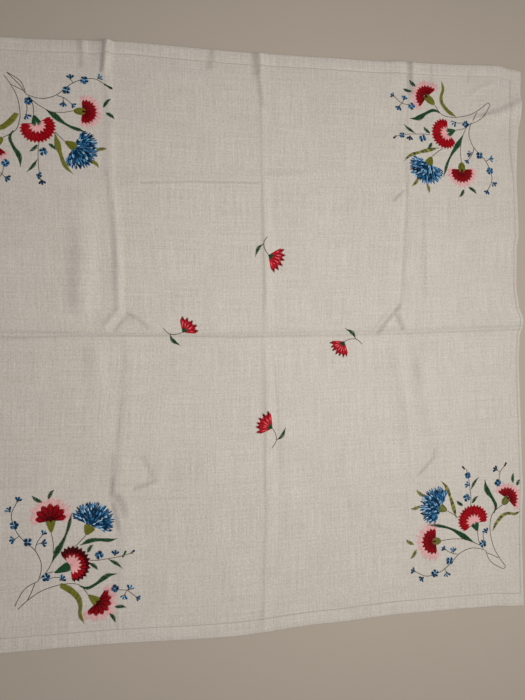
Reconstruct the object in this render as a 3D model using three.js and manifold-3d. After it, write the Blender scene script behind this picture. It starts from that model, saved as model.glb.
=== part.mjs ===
// An embroidered linen tablecloth, laid out flat with its face up.
// The cloth is one hemmed sheet. It was kept folded in half and in quarters, so soft creases
// cross it both ways, small folds stand where they meet, and its edge is as wavy as washed linen.
// The stitched flowers and leaves stand a little proud of the face: one spray in each corner, and
// one sprig on each side of the middle, each the last one turned by a quarter.
// Millimetres. +X is right and +Y up as the cloth is looked at from above, and +Z is its face.
import * as THREE from 'three';
import { mergeVertices } from 'three/addons/utils/BufferGeometryUtils.js';
import Module from 'manifold-3d';

// Driving dimensions
const HALF = 425; // half of the hemmed cloth's side
const THICKNESS = 1.2; // the woven sheet with the air in it
const HEM = { width: 18, step: 2, extra: 0.7 }; // a hem turned twice, and how it steps down
const STITCHING = { rise: 0.7, root: 0.6 }; // how far stitches stand proud, and start above the back
const TALL = 30; // more than the cloth's highest fold
const LINES = { gap: 34, least: 4.5 }; // the widest and the closest that the surface's lines lie
const WELD = 0.01; // points closer than this are one

const LINEN = { color: '#c3bbae', roughness: 0.9, metalness: 0 };

// The cloth's own lines, which everything between them follows. nominal is where a line would be
// on a perfect cloth, and run is where it lies, from the crossing of the two centre creases.
const UPRIGHT_LINES = [
  { name: 'left edge', nominal: -HALF, run: [
    { y: -427, x: -427 }, { y: -230, x: -425 }, { y: 60, x: -427 }, { y: 421, x: -425 },
  ] },
  { name: 'left quarter crease', nominal: -214, run: [
    { y: -396, x: -214 }, { y: -301, x: -211 }, { y: -218, x: -218 }, { y: -134, x: -211 },
    { y: -22, x: -199 }, { y: 50, x: -207 }, { y: 220, x: -219 }, { y: 421, x: -225 },
  ] },
  { name: 'centre crease', nominal: 0, run: [
    { y: -428, x: -7 }, { y: -199, x: -2 }, { y: 139, x: 0 }, { y: 426, x: 3 },
  ] },
  { name: 'right quarter crease', nominal: 214, run: [
    { y: -424, x: 217 }, { y: -111, x: 211 }, { y: -30, x: 204 }, { y: 42, x: 211 },
    { y: 222, x: 226 }, { y: 421, x: 242 },
  ] },
  { name: 'right edge', nominal: HALF, run: [
    { y: -424, x: 398 }, { y: -264, x: 405 }, { y: -186, x: 403 }, { y: -53, x: 405 },
    { y: 10, x: 417 }, { y: 62, x: 409 }, { y: 235, x: 414 }, { y: 330, x: 422 },
    { y: 357, x: 427 }, { y: 421, x: 428 },
  ] },
];
const LEVEL_LINES = [
  { name: 'lower edge', nominal: -HALF, run: [
    { x: -427, y: -427 }, { x: -249, y: -427 }, { x: -49, y: -432 }, { x: 90, y: -425 },
    { x: 198, y: -421 }, { x: 355, y: -421 }, { x: 398, y: -424 },
  ] },
  { name: 'centre crease', nominal: 0, run: [
    { x: -425, y: 6 }, { x: -254, y: 1 }, { x: -93, y: -2 }, { x: 195, y: 2 }, { x: 410, y: 7 },
  ] },
  { name: 'upper edge', nominal: HALF, run: [
    { x: -425, y: 421 }, { x: -330, y: 422 }, { x: -221, y: 425 }, { x: -189, y: 427 },
    { x: -43, y: 423 }, { x: 143, y: 423 }, { x: 275, y: 425 }, { x: 402, y: 428 },
    { x: 428, y: 421 },
  ] },
];

// Every fold is a soft ridge along its points. rise is its height there, and left and right are
// how far its slopes reach on either hand of someone walking along it.
const FOLDS = [
  { name: 'centre crease, upright', left: 10, right: 10, at: [
    { x: 3, y: 426, rise: 0.8 }, { x: 1, y: 230, rise: 1.2 }, { x: 0, y: 50, rise: 1.8 },
    { x: 0, y: 0, rise: 1 }, { x: -1, y: -98, rise: 1.6 }, { x: -3, y: -260, rise: 1.4 },
    { x: -7, y: -428, rise: 0.8 },
  ] },
  { name: 'second ridge beside it', left: 9, right: 12, at: [
    { x: 14, y: -16, rise: 0 }, { x: 17, y: -69, rise: 1.6 }, { x: 20, y: -157, rise: 1.8 },
    { x: 25, y: -262, rise: 0 },
  ] },
  { name: 'centre crease, level', left: 9, right: 9, at: [
    { x: -425, y: 6, rise: 0.8 }, { x: -254, y: 1, rise: 1 }, { x: -93, y: -2, rise: 1.2 },
    { x: 195, y: 2, rise: 1.2 }, { x: 410, y: 7, rise: 0.8 },
  ] },
  { name: 'left quarter crease, upper', left: 16, right: 10, at: [
    { x: -225, y: 421, rise: 1 }, { x: -217, y: 311, rise: 1.2 }, { x: -219, y: 222, rise: 2 },
    { x: -215, y: 180, rise: 4.5 }, { x: -209, y: 90, rise: 5 }, { x: -204, y: 34, rise: 4 },
    { x: -200, y: 8, rise: 0 },
  ] },
  { name: 'left quarter crease, lower', left: 12, right: 10, at: [
    { x: -206, y: 12, rise: 0 }, { x: -199, y: -22, rise: 2 }, { x: -206, y: -85, rise: 2 },
    { x: -214, y: -176, rise: 1.8 }, { x: -218, y: -218, rise: 2 }, { x: -211, y: -301, rise: 1.2 },
    { x: -214, y: -396, rise: 0.8 },
  ] },
  { name: 'broad swell left of it, upper', left: 22, right: 16, at: [
    { x: -252, y: 150, rise: 0 }, { x: -249, y: 120, rise: 3 }, { x: -247, y: 60, rise: 3 },
    { x: -246, y: 22, rise: 0 },
  ] },
  { name: 'broad swell left of it, lower', left: 14, right: 14, at: [
    { x: -246, y: -4, rise: 0 }, { x: -244, y: -30, rise: 1.8 }, { x: -241, y: -90, rise: 1.8 },
    { x: -240, y: -125, rise: 0 },
  ] },
  { name: 'right quarter crease, upper', left: 12, right: 14, at: [
    { x: 242, y: 421, rise: 1.2 }, { x: 233, y: 333, rise: 1.8 }, { x: 226, y: 222, rise: 3.5 },
    { x: 216, y: 112, rise: 3.5 }, { x: 211, y: 42, rise: 4 }, { x: 208, y: 12, rise: 0 },
  ] },
  { name: 'right outer crease, upper', left: 11, right: 11, at: [
    { x: 264, y: 236, rise: 0 }, { x: 262, y: 212, rise: 2 }, { x: 258, y: 144, rise: 2.4 },
    { x: 252, y: 60, rise: 2 }, { x: 250, y: 14, rise: 0 },
  ] },
  { name: 'right quarter crease, lower', left: 10, right: 10, at: [
    { x: 204, y: -6, rise: 0 }, { x: 203, y: -50, rise: 2 }, { x: 211, y: -111, rise: 2.6 },
    { x: 214, y: -180, rise: 2.2 }, { x: 219, y: -234, rise: 0 },
  ] },
  { name: 'right outer crease, lower', left: 10, right: 12, at: [
    { x: 234, y: -4, rise: 0 }, { x: 239, y: -73, rise: 2 }, { x: 250, y: -140, rise: 2.6 },
    { x: 256, y: -196, rise: 2.2 }, { x: 257, y: -224, rise: 0 },
  ] },
  { name: 'upper quarter crease, level', left: 12, right: 12, at: [
    { x: -232, y: 226, rise: 0 }, { x: -190, y: 224, rise: 1.4 }, { x: -31, y: 226, rise: 1.4 },
    { x: 60, y: 240, rise: 1.4 }, { x: 135, y: 247, rise: 0 },
  ] },
  { name: 'slant down to the right crease', left: 10, right: 10, at: [
    { x: 168, y: 200, rise: 0 }, { x: 206, y: 207, rise: 2 }, { x: 232, y: 225, rise: 0 },
  ] },
  { name: 'lower quarter crease, left end', left: 10, right: 10, at: [
    { x: -222, y: -226, rise: 0 }, { x: -194, y: -212, rise: 2 }, { x: -168, y: -201, rise: 2 },
    { x: -152, y: -184, rise: 0 },
  ] },
  { name: 'lower corner fold, right', left: 10, right: 10, at: [
    { x: 231, y: -222, rise: 0 }, { x: 245, y: -207, rise: 2.4 }, { x: 264, y: -194, rise: 0 },
  ] },
  { name: 'star fold, left outer', left: 10, right: 10, at: [
    { x: -226, y: -2, rise: 0 }, { x: -213, y: 14, rise: 2.6 }, { x: -200, y: 32, rise: 0 },
  ] },
  { name: 'star fold, left inner', left: 10, right: 10, at: [
    { x: -204, y: 32, rise: 0 }, { x: -186, y: 24, rise: 3 }, { x: -160, y: 6, rise: 0 },
  ] },
  { name: 'star fold, right inner', left: 12, right: 10, at: [
    { x: 168, y: -5, rise: 0 }, { x: 190, y: 16, rise: 3.6 }, { x: 213, y: 42, rise: 1 },
  ] },
  { name: 'star fold, right outer', left: 10, right: 10, at: [
    { x: 211, y: 42, rise: 0 }, { x: 220, y: 24, rise: 2.2 }, { x: 229, y: 6, rise: 0 },
  ] },
  { name: 'swell up to the right edge', left: 16, right: 16, at: [
    { x: 350, y: 318, rise: 0 }, { x: 388, y: 338, rise: 2 }, { x: 423, y: 347, rise: 2 },
  ] },
];

// Short pleats that the hem's stitching draws in from the upper edge.
const PLEAT = { width: 9, rise: 1.6, rooted: 6 };
const PLEATS = [
  { x: -256, length: 28 }, { x: -226, length: 48 }, { x: -69, length: 40 }, { x: -2, length: 58 },
  { x: 242, length: 38 },
];

// The lower left spray, from the crossing of the centre creases. x and y are the foot of a
// flower's green cup, faces is the way it looks in degrees, cup the length of the cup, radius the
// reach of its petals from the cup's mouth, spread the half angle that they open to.
const FLOWERS = [
  { name: 'left carnation', x: -315, y: -269, faces: 92, cup: 15, radius: 29, spread: 100, teeth: 9 },
  { name: 'middle carnation', x: -306, y: -324, faces: 16, cup: 24, radius: 25, spread: 118, teeth: 11 },
  { name: 'right carnation', x: -268, y: -362, faces: -43, cup: 14, radius: 28, spread: 100, teeth: 9 },
  { name: 'cornflower', x: -269, y: -277, faces: 65, cup: 13, radius: 35, spread: 92, teeth: 8 },
];
const PETAL_TOOTH = 0.09; // how far a petal's tip stands out past the notch beside it, over the radius
const CUP_FOOT = 2.5; // half the width of a green cup at its foot

// Long leaves, from foot to tip, with bow as how far the middle stands out to the left.
const LEAVES = [
  { name: 'by the left carnation', x: -316, y: -314, toX: -288, toY: -250, bow: -5, width: 7 },
  { name: 'under the cornflower', x: -280, y: -291, toX: -225, toY: -272, bow: 5, width: 6 },
  { name: 'over the right carnation', x: -280, y: -349, toX: -229, toY: -336, bow: -4, width: 6 },
  { name: 'lowest', x: -306, y: -345, toX: -279, toY: -397, bow: 6, width: 7 },
];

// The left sprig, drawn the same way.
const SPRIG_FLOWER = { x: -124, y: 5, faces: 42, cup: 8, radius: 17, spread: 62, teeth: 6 };
const SPRIG_LEAF = { x: -141, y: -1, toX: -125, toY: -14, bow: 2, width: 5 };

// Where each copy ends up: quarter turns about the crossing of the creases, then what the hand
// that marked the cloth was out by, as a small turn in degrees and a shift.
const SPRAY = { x: -295, y: -317 };
const SPRAY_COPIES = [
  { name: 'lower left', quarters: 0, turn: 1.4, right: 16.4, up: -0.5 },
  { name: 'lower right', quarters: 1, turn: 0, right: 2, up: -3.4 },
  { name: 'upper right', quarters: 2, turn: -0.4, right: 7.9, up: -2.1 },
  { name: 'upper left', quarters: 3, turn: -2.6, right: 0.2, up: 6.9 },
];
const SPRIG = { x: -130, y: 5 };
const SPRIG_COPIES = [
  { name: 'left', quarters: 0, turn: -7.5, right: 6.1, up: -0.1 },
  { name: 'lower', quarters: 1, turn: 3.1, right: 14.3, up: -15.2 },
  { name: 'right', quarters: 2, turn: -3.5, right: -1.7, up: -9.7 },
  { name: 'upper', quarters: 3, turn: 7.2, right: 4.8, up: -7.4 },
];

const wasm = await Module();
wasm.setup();

// A table's value between its rows, eased so that it is level at each row. The rows are sorted.
function eased(rows, at, key, position) {
  const after = rows.findIndex((row) => row[key] >= position);
  if (after === 0) return rows[0][at];
  if (after < 0) return rows[rows.length - 1][at];
  const [low, high] = [rows[after - 1], rows[after]];
  const share = THREE.MathUtils.smoothstep(position, low[key], high[key]);
  return THREE.MathUtils.lerp(low[at], high[at], share);
}

// Where a nominal place lies between the cloth's own lines, straight from one line to the next.
function between(lines, nominal, at, key, position) {
  const upper = Math.max(1, lines.findIndex((line) => line.nominal >= nominal));
  const [low, high] = [lines[upper - 1], lines[upper]];
  const share = (nominal - low.nominal) / (high.nominal - low.nominal);
  const [from, to] = [low, high].map((line) => eased(line.run, at, key, position));
  return THREE.MathUtils.lerp(from, to, share);
}

// The ridge of one fold at a place: its rise there, falling as a bell to nothing at its reach.
function ridge(fold, x, y) {
  let height = 0;
  for (let i = 1; i < fold.at.length; i += 1) {
    const [from, to] = [fold.at[i - 1], fold.at[i]];
    const [alongX, alongY] = [to.x - from.x, to.y - from.y];
    const length = Math.hypot(alongX, alongY);
    const raw = ((x - from.x) * alongX + (y - from.y) * alongY) / length ** 2;
    const share = THREE.MathUtils.clamp(raw, 0, 1);
    const away = Math.hypot(x - from.x - share * alongX, y - from.y - share * alongY);
    const onLeft = alongX * (y - from.y) - alongY * (x - from.x) > 0;
    const reach = onLeft ? fold.left : fold.right;
    const bell = Math.max(0, 1 - (away / reach) ** 2) ** 2;
    height = Math.max(height, bell * THREE.MathUtils.lerp(from.rise, to.rise, share));
  }
  return height;
}

// A pleat is a fold that starts under the hem and runs straight down until it is spent.
function pleatFold({ x, length }) {
  return { left: PLEAT.width, right: PLEAT.width, at: [
    { x, y: HALF + PLEAT.rooted, rise: PLEAT.rise }, { x, y: HALF - length / 2, rise: PLEAT.rise },
    { x, y: HALF - length, rise: 0 },
  ] };
}

const EVERY_FOLD = [...FOLDS, ...PLEATS.map(pleatFold)];

// How high the cloth's underside stands over the surface: each fold adds to what is left of the rest.
function lift(x, y) {
  return Math.hypot(...EVERY_FOLD.map((fold) => ridge(fold, x, y)));
}

// How much thicker the cloth is than one layer, which is only in the hem.
function hemExtra(nominalX, nominalY) {
  const inside = HALF - Math.max(Math.abs(nominalX), Math.abs(nominalY));
  return HEM.extra * (1 - THREE.MathUtils.smoothstep(inside, HEM.width - HEM.step, HEM.width));
}

// Surface lines at the wanted places, less any too close to the last, and evenly between them
// wherever the gap is too wide.
function surfaceLines(wanted) {
  const spaced = [];
  for (const place of [...wanted].sort((a, b) => a - b)) {
    const last = spaced[spaced.length - 1] ?? -Infinity;
    if (place - last >= LINES.least) spaced.push(place);
  }
  return spaced.flatMap((place, i) => {
    const next = spaced[i + 1] ?? place;
    const parts = Math.max(1, Math.ceil((next - place) / LINES.gap));
    return Array.from({ length: parts }, (_, k) => place + ((next - place) * k) / parts);
  });
}

// Lines on, and to each side of, a crease.
function around(crease, offsets) {
  return offsets.flatMap((offset) => (offset === 0 ? [crease] : [crease - offset, crease + offset]));
}

const INNER_HEM = HALF - HEM.width;
const HEM_LINES = [HALF, INNER_HEM + HEM.step + LINES.least, INNER_HEM - HEM.step];
const COLUMNS = surfaceLines([
  ...HEM_LINES, ...HEM_LINES.map((place) => -place), ...around(0, [0, 7]), 20,
  ...around(-214, [0, 6, 13]), ...around(-247, [0, 9, 20]), ...around(214, [0, 6, 13]),
  ...around(250, [0, 7]), ...around(-180, [0]), ...around(190, [0]),
]);
const ROWS = surfaceLines([
  ...HEM_LINES, ...HEM_LINES.map((place) => -place), ...around(0, [0, 6]), 14, 22, 32, 44,
  ...around(226, [0, 9]), 246, 207, ...around(-214, [0, 9]), -190, 342, 330, 354,
]);

// A layer that follows the cloth's folds, from low to high over the cloth's back, as far as the
// hem's edge: the same net of lines on both its faces, joined round the rim.
function layerGeometry(low, high) {
  const columns = COLUMNS.length;
  const points = [];
  for (const level of [low, high]) {
    for (const nominalY of ROWS) {
      for (const nominalX of COLUMNS) {
        const x = between(UPRIGHT_LINES, nominalX, 'x', 'y', nominalY);
        const y = between(LEVEL_LINES, nominalY, 'y', 'x', nominalX);
        points.push(x, y, lift(x, y) + level(nominalX, nominalY));
      }
    }
  }
  const back = 0;
  const face = ROWS.length * columns;
  const index = [];
  const quad = (a, b, c, d) => index.push(a, b, c, a, c, d);
  for (let row = 0; row + 1 < ROWS.length; row += 1) {
    for (let column = 0; column + 1 < columns; column += 1) {
      const a = row * columns + column;
      const [b, c, d] = [a + 1, a + 1 + columns, a + columns];
      quad(face + a, face + b, face + c, face + d);
      quad(back + d, back + c, back + b, back + a);
    }
  }
  const lastRow = (ROWS.length - 1) * columns;
  for (let column = 0; column + 1 < columns; column += 1) {
    quad(back + column, back + column + 1, face + column + 1, face + column);
    const far = lastRow + column;
    quad(back + far + 1, back + far, face + far, face + far + 1);
  }
  for (let row = 0; row + 1 < ROWS.length; row += 1) {
    const left = row * columns;
    quad(back + left + columns, back + left, face + left, face + left + columns);
    const right = left + columns - 1;
    quad(back + right, back + right + columns, face + right + columns, face + right);
  }
  const geometry = new THREE.BufferGeometry();
  geometry.setAttribute('position', new THREE.Float32BufferAttribute(points, 3));
  return geometry.setIndex(index);
}

// A flower's outline: the cup's sides run up from its foot, and the petals' tips follow an arc
// about the cup's mouth, each tip a little further out than the notches beside it.
function flowerShape({ cup, radius, spread, teeth }) {
  const half = THREE.MathUtils.degToRad(spread);
  const steps = 2 * teeth;
  const arc = Array.from({ length: steps + 1 }, (_, i) => {
    const angle = half * (1 - (2 * i) / steps);
    const reach = radius * (i % 2 ? 1 : 1 - PETAL_TOOTH);
    return new THREE.Vector2(cup + reach * Math.cos(angle), reach * Math.sin(angle));
  });
  const foot = [new THREE.Vector2(0, -CUP_FOOT), new THREE.Vector2(0, CUP_FOOT)];
  const mouth = [new THREE.Vector2(cup, CUP_FOOT * 2), new THREE.Vector2(cup, -CUP_FOOT * 2)];
  return new THREE.Shape([...foot.reverse(), ...mouth.slice(1), ...arc.reverse(), mouth[0]]);
}

// A leaf's outline: widest a third of the way along a bowed line, and pointed at both ends.
const LEAF_STATIONS = [
  { along: 0.16, wide: 0.6 }, { along: 0.34, wide: 1 }, { along: 0.58, wide: 0.8 },
  { along: 0.8, wide: 0.5 },
];
function leafShape({ x, y, toX, toY, bow, width }) {
  const length = Math.hypot(toX - x, toY - y);
  const side = (sign) => LEAF_STATIONS.map(({ along, wide }) => new THREE.Vector2(
    along * length,
    4 * bow * along * (1 - along) + (sign * wide * width) / 2,
  ));
  const tips = [new THREE.Vector2(0, 0), new THREE.Vector2(length, 0)];
  return new THREE.Shape([tips[0], ...side(-1), tips[1], ...side(1).reverse()]);
}

// Carries a shape from its own frame to the cloth: its foot and the way it looks, then its copy's
// quarter turns about the crossing, its small turn about the group's middle, and its shift.
function placeOnCloth(foot, looks, middle, copy) {
  const quarter = new THREE.Matrix4().makeRotationZ((copy.quarters * Math.PI) / 2);
  const centre = new THREE.Vector3(middle.x, middle.y, 0).applyMatrix4(quarter);
  return new THREE.Matrix4()
    .makeTranslation(centre.x + copy.right, centre.y + copy.up, 0)
    .multiply(new THREE.Matrix4().makeRotationZ(THREE.MathUtils.degToRad(copy.turn)))
    .multiply(new THREE.Matrix4().makeTranslation(-centre.x, -centre.y, 0))
    .multiply(quarter)
    .multiply(new THREE.Matrix4().makeTranslation(foot.x, foot.y, 0))
    .multiply(new THREE.Matrix4().makeRotationZ(looks));
}

// A shape as an upright block through the whole cloth.
function blockGeometry(shape, matrix) {
  const depth = 2 * TALL;
  const block = new THREE.ExtrudeGeometry(shape, { depth, bevelEnabled: false });
  block.translate(0, 0, -TALL);
  return block.applyMatrix4(matrix);
}

// The blocks of a group of flowers and leaves, once for each copy.
function motifBlocks(flowers, leaves, middle, copies) {
  return copies.flatMap((copy) => [
    ...flowers.map((flower) => blockGeometry(
      flowerShape(flower),
      placeOnCloth(flower, THREE.MathUtils.degToRad(flower.faces), middle, copy),
    )),
    ...leaves.map((leaf) => blockGeometry(
      leafShape(leaf),
      placeOnCloth(leaf, Math.atan2(leaf.toY - leaf.y, leaf.toX - leaf.x), middle, copy),
    )),
  ]);
}

// A geometry as a solid that can be joined to another.
function solid(geometry) {
  const bare = geometry.clone();
  bare.deleteAttribute('normal');
  bare.deleteAttribute('uv');
  const merged = mergeVertices(bare, WELD);
  return new wasm.Manifold(new wasm.Mesh({
    numProp: 3,
    vertProperties: new Float32Array(merged.attributes.position.array),
    triVerts: new Uint32Array(merged.index.array),
  }));
}

function geometryOf(manifold) {
  const mesh = manifold.getMesh();
  const geometry = new THREE.BufferGeometry();
  geometry.setAttribute('position', new THREE.BufferAttribute(mesh.vertProperties, 3));
  geometry.setIndex(new THREE.BufferAttribute(mesh.triVerts, 1));
  geometry.computeVertexNormals();
  return geometry;
}

// The sheet, and on it the stitching, which is a second layer over the cloth's own folds that is
// left only where there is a motif. The origin is moved under the middle of the outline.
function clothGeometry() {
  const top = (nominalX, nominalY) => THICKNESS + hemExtra(nominalX, nominalY);
  const sheet = solid(layerGeometry(() => 0, top));
  const raised = (nominalX, nominalY) => top(nominalX, nominalY) + STITCHING.rise;
  const layer = solid(layerGeometry(() => STITCHING.root, raised));
  const motifs = [
    ...motifBlocks(FLOWERS, LEAVES, SPRAY, SPRAY_COPIES),
    ...motifBlocks([SPRIG_FLOWER], [SPRIG_LEAF], SPRIG, SPRIG_COPIES),
  ];
  const blocks = motifs.map(solid).reduce((all, block) => all.add(block));
  const geometry = geometryOf(sheet.add(layer.intersect(blocks)).simplify(WELD));
  geometry.computeBoundingBox();
  const { min, max } = geometry.boundingBox;
  return geometry.translate(-(min.x + max.x) / 2, -(min.y + max.y) / 2, -min.z);
}

const cloth = new THREE.Mesh(clothGeometry(), new THREE.MeshStandardMaterial(LINEN));
cloth.name = 'cloth';

const tablecloth = new THREE.Group();
tablecloth.add(cloth);

export default tablecloth;
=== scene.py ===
import math
from collections import defaultdict

import bpy
import numpy as np
from mathutils import Matrix, Vector


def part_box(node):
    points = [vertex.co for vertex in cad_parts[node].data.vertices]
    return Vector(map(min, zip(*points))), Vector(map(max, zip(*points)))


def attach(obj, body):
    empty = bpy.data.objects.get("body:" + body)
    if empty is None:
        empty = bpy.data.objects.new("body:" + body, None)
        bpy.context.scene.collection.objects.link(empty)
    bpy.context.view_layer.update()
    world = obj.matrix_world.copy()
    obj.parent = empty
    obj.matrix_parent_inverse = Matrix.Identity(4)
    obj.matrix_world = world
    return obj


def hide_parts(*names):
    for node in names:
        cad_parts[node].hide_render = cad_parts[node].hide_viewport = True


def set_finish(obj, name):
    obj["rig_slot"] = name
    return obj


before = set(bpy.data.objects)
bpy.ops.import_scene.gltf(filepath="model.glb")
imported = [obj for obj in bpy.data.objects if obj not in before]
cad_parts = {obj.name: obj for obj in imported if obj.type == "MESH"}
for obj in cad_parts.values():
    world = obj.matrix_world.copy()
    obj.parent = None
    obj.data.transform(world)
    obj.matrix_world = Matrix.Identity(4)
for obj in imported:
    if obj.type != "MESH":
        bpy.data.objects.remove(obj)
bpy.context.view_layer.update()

# An embroidered linen tablecloth, laid out with its face up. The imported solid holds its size, its
# outline and its folds. This file adds what the eye looks for: the woven linen with its turned hem
# and hemstitching, and the flowers, each of them made of its own stitches.
# Lengths are millimetres until a mesh is made, and places on the cloth are complex numbers,
# x + iy from the crossing of the two centre creases, with +y to the upper edge.

bl_info = {
    "name": "Embroidered linen tablecloth",
    "version": (1, 0, 0),
    "blender": (4, 5, 0),
    "location": "3D View > Sidebar > Tablecloth",
    "description": "Lays a hemstitched linen tablecloth and embroiders it stitch by stitch",
    "category": "Add Mesh",
}

MM = 0.001  # metres in a millimetre

# The cloth's driving sizes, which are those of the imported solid
HALF = 425.0  # half of the hemmed side
THICKNESS = 1.2  # the sheet with the air in it
HEM = {"width": 18.0, "step": 2.0, "extra": 0.7}  # a hem turned twice, and how it steps down
RIM = {"drop": 0.35, "bulge": 0.45}  # how far its folded edge is lower and stands out, rounded
INNER_HEM = HALF - HEM["width"]
DRAWN_BAND = 0.95  # the strip beside the hem whose threads are drawn out
HOLE_PITCH = 2.8  # from one hemstitch hole to the next
STITCHED_FROM = 250  # on the right the hem turns over out of sight below this, stitching and all


def chart(columns, *rows):
    """A chart's rows as dictionaries, each value under its column's name. A last column with a
    star takes what is left of its row, and a row may end before a last column without one."""
    *names, last = columns.split()
    if last[0] == "*":
        return [{**dict(zip(names, row)), last[1:]: row[len(names):]} for row in rows]
    return [dict(zip((*names, last), row)) for row in rows]


# The cloth's own lines, which everything between them follows. nominal is where a line would be
# on a perfect cloth. A run's pairs are how far along the line, and where the line lies there.
UPRIGHT_LINES = chart("name nominal *run",
    ("left edge", -HALF, (-427, -427), (-230, -425), (60, -427), (421, -425)),
    ("left quarter crease", -214, (-396, -214), (-301, -211), (-218, -218), (-134, -211),
     (-22, -199), (50, -207), (220, -219), (421, -225)),
    ("centre crease", 0, (-428, -7), (-199, -2), (139, 0), (426, 3)),
    ("right quarter crease", 214, (-424, 217), (-111, 211), (-30, 204), (42, 211), (222, 226),
     (421, 242)),
    ("right hem's inner edge, where it turns down", INNER_HEM, (-424, 393), (-325, 394.5),
     (-233, 399.5), (-53, 400.5), (-17, 403.5), (10, 411), (36, 404), (64, 401.5), (124, 404),
     (153, 408), (235, 408), (297, 405), (341, 406), (405, 409), (421, 410)),
    ("right edge", HALF, (-424, 398), (-325, 399), (-233, 404), (-53, 405), (-17, 408), (10, 416),
     (36, 409), (64, 406), (124, 409), (153, 414), (235, 414), (300, 417), (322, 420), (352, 426),
     (382, 426), (421, 428))
)
LEVEL_LINES = chart("name nominal *run",
    ("lower edge", -HALF, (-427, -427), (-249, -427), (-49, -432), (90, -425), (198, -421),
     (355, -421), (398, -424)),
    ("centre crease", 0, (-425, 6), (-254, 1), (-93, -2), (195, 2), (410, 7)),
    ("upper edge", HALF, (-425, 421), (-330, 422), (-221, 425), (-189, 427), (-43, 423),
     (143, 423), (275, 425), (383, 428), (404, 424), (428, 421))
)
OUTLINE_MIDDLE = ((-427 + 428) / 2, (-432 + 428) / 2)  # half way between the outermost places

# The main folds, as soft ridges along their points, which are x, y and rise. left and right are
# how far a ridge's slopes reach on either hand of someone walking along it. They follow those of
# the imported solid, with the steep and the long side of each as the light shows them.
FOLDS = chart("name left right *at",
    ("centre crease, upright, upper", 12, 9, (5, 426, 0.7), (6, 230, 1), (7, 71, 2), (5, 12, 0.8)),
    ("centre crease, upright, lower", 14, 9, (4, 8, 0.8), (4, -49, 1.3), (5, -98, 1.6),
     (3, -184, 1.3), (5, -262, 1.2), (-2, -348, 0.9), (-6, -428, 0.6)),
    ("second ridge beside it", 20, 8, (17, -14, 0), (23, -49, 0.8), (25, -100, 1.2),
     (28, -184, 1.2), (33, -262, 0.8), (34, -300, 0)),
    ("centre crease, level", 9, 9, (-425, 6, 0.8), (-254, 1, 1), (-93, -2, 1.2), (195, 2, 1.2),
     (410, 7, 0.8)),
    ("left quarter crease, upper", 11, 9.5, (-204, 12, 0), (-206, 34, 1.7), (-207, 60, 2.1),
     (-207, 113, 2.6), (-209, 153, 2), (-215, 210, 1.6), (-218, 240, 1.2), (-216, 311, 1.2),
     (-225, 421, 1)),
    ("left quarter crease, lower", 28, 13, (-204, 12, 0), (-189, -34, 1.5), (-194, -89, 0.7),
     (-202, -137, 0.8), (-202, -180, 1.1), (-210, -218, 1.5), (-209, -240, 1.5),
     (-203, -270, 1.2), (-201, -301, 1), (-204, -396, 0.7)),
    ("broad swell left of it, upper", 24, 26, (-256, 20, 0), (-257, 46, 5), (-257, 96, 4.6),
     (-257, 125, 3.6), (-258, 177, 1.4), (-262, 225, 0)),
    ("broad swell left of it, lower", 17, 22, (-241, 0, 0), (-237, -34, 2.5), (-234, -80, 1.2),
     (-230, -115, 0)),
    ("right quarter crease, upper", 24, 24, (196, 22, 0), (197, 61, 1.9), (200, 111, 1.4),
     (204, 169, 1.1), (224, 222, 1), (233, 333, 0.8), (242, 421, 0.6)),
    ("right outer crease, upper", 8, 25, (255, 14, 0), (256, 46, 1.2), (257, 111, 1.3),
     (259, 169, 1.2), (265, 236, 0)),
    ("right quarter crease, lower", 18, 12, (204, -6, 0), (206, -57, 1.3), (214, -111, 1.6),
     (218, -163, 1.2), (221, -226, 0)),
    ("right outer crease, lower", 24, 16, (238, -4, 0), (243, -52, 4.8), (250, -111, 1.8),
     (262, -165, 1.2), (264, -214, 0)),
    ("upper quarter crease, level", 12, 12, (-232, 222, 0), (-190, 224, 1.2), (-31, 231, 1.1),
     (60, 241, 0.8), (135, 247, 0)),
    ("slant down to the right crease", 10, 10, (190, 190, 0), (207, 204, 1.4), (226, 222, 0)),
    ("lower quarter crease, left end", 10, 10, (-222, -230, 0), (-194, -223, 1.4),
     (-166, -216, 1.5), (-152, -190, 0)),
    ("lower corner fold, right", 10, 10, (231, -222, 0), (245, -209, 2.2), (264, -196, 0)),
    ("star fold, left outer", 10, 10, (-233, 3, 0), (-219, 20, 1.8), (-207, 36, 0.6)),
    ("star fold, left inner", 10, 10, (-204, 32, 0), (-184, 21, 1.6), (-160, 6, 0)),
    ("star fold, right inner", 12, 10, (170, -2, 0), (190, 19, 2.8), (211, 44, 1)),
    ("star fold, right outer", 10, 10, (211, 44, 0), (219, 29, 1.6), (229, 12, 0)),
    ("swell up to the right edge", 14, 20, (326, 327, 0), (367, 337, 2.2), (397, 350, 3),
     (424, 363, 2.8))
)
PLEAT = {"width": 9, "rise": 1.6, "rooted": 6}  # short pleats that the upper hem draws in
PLEATS = ((-255, 28), (-221, 48), (-69, 40), (1, 58), (243, 38))  # x and length

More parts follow.
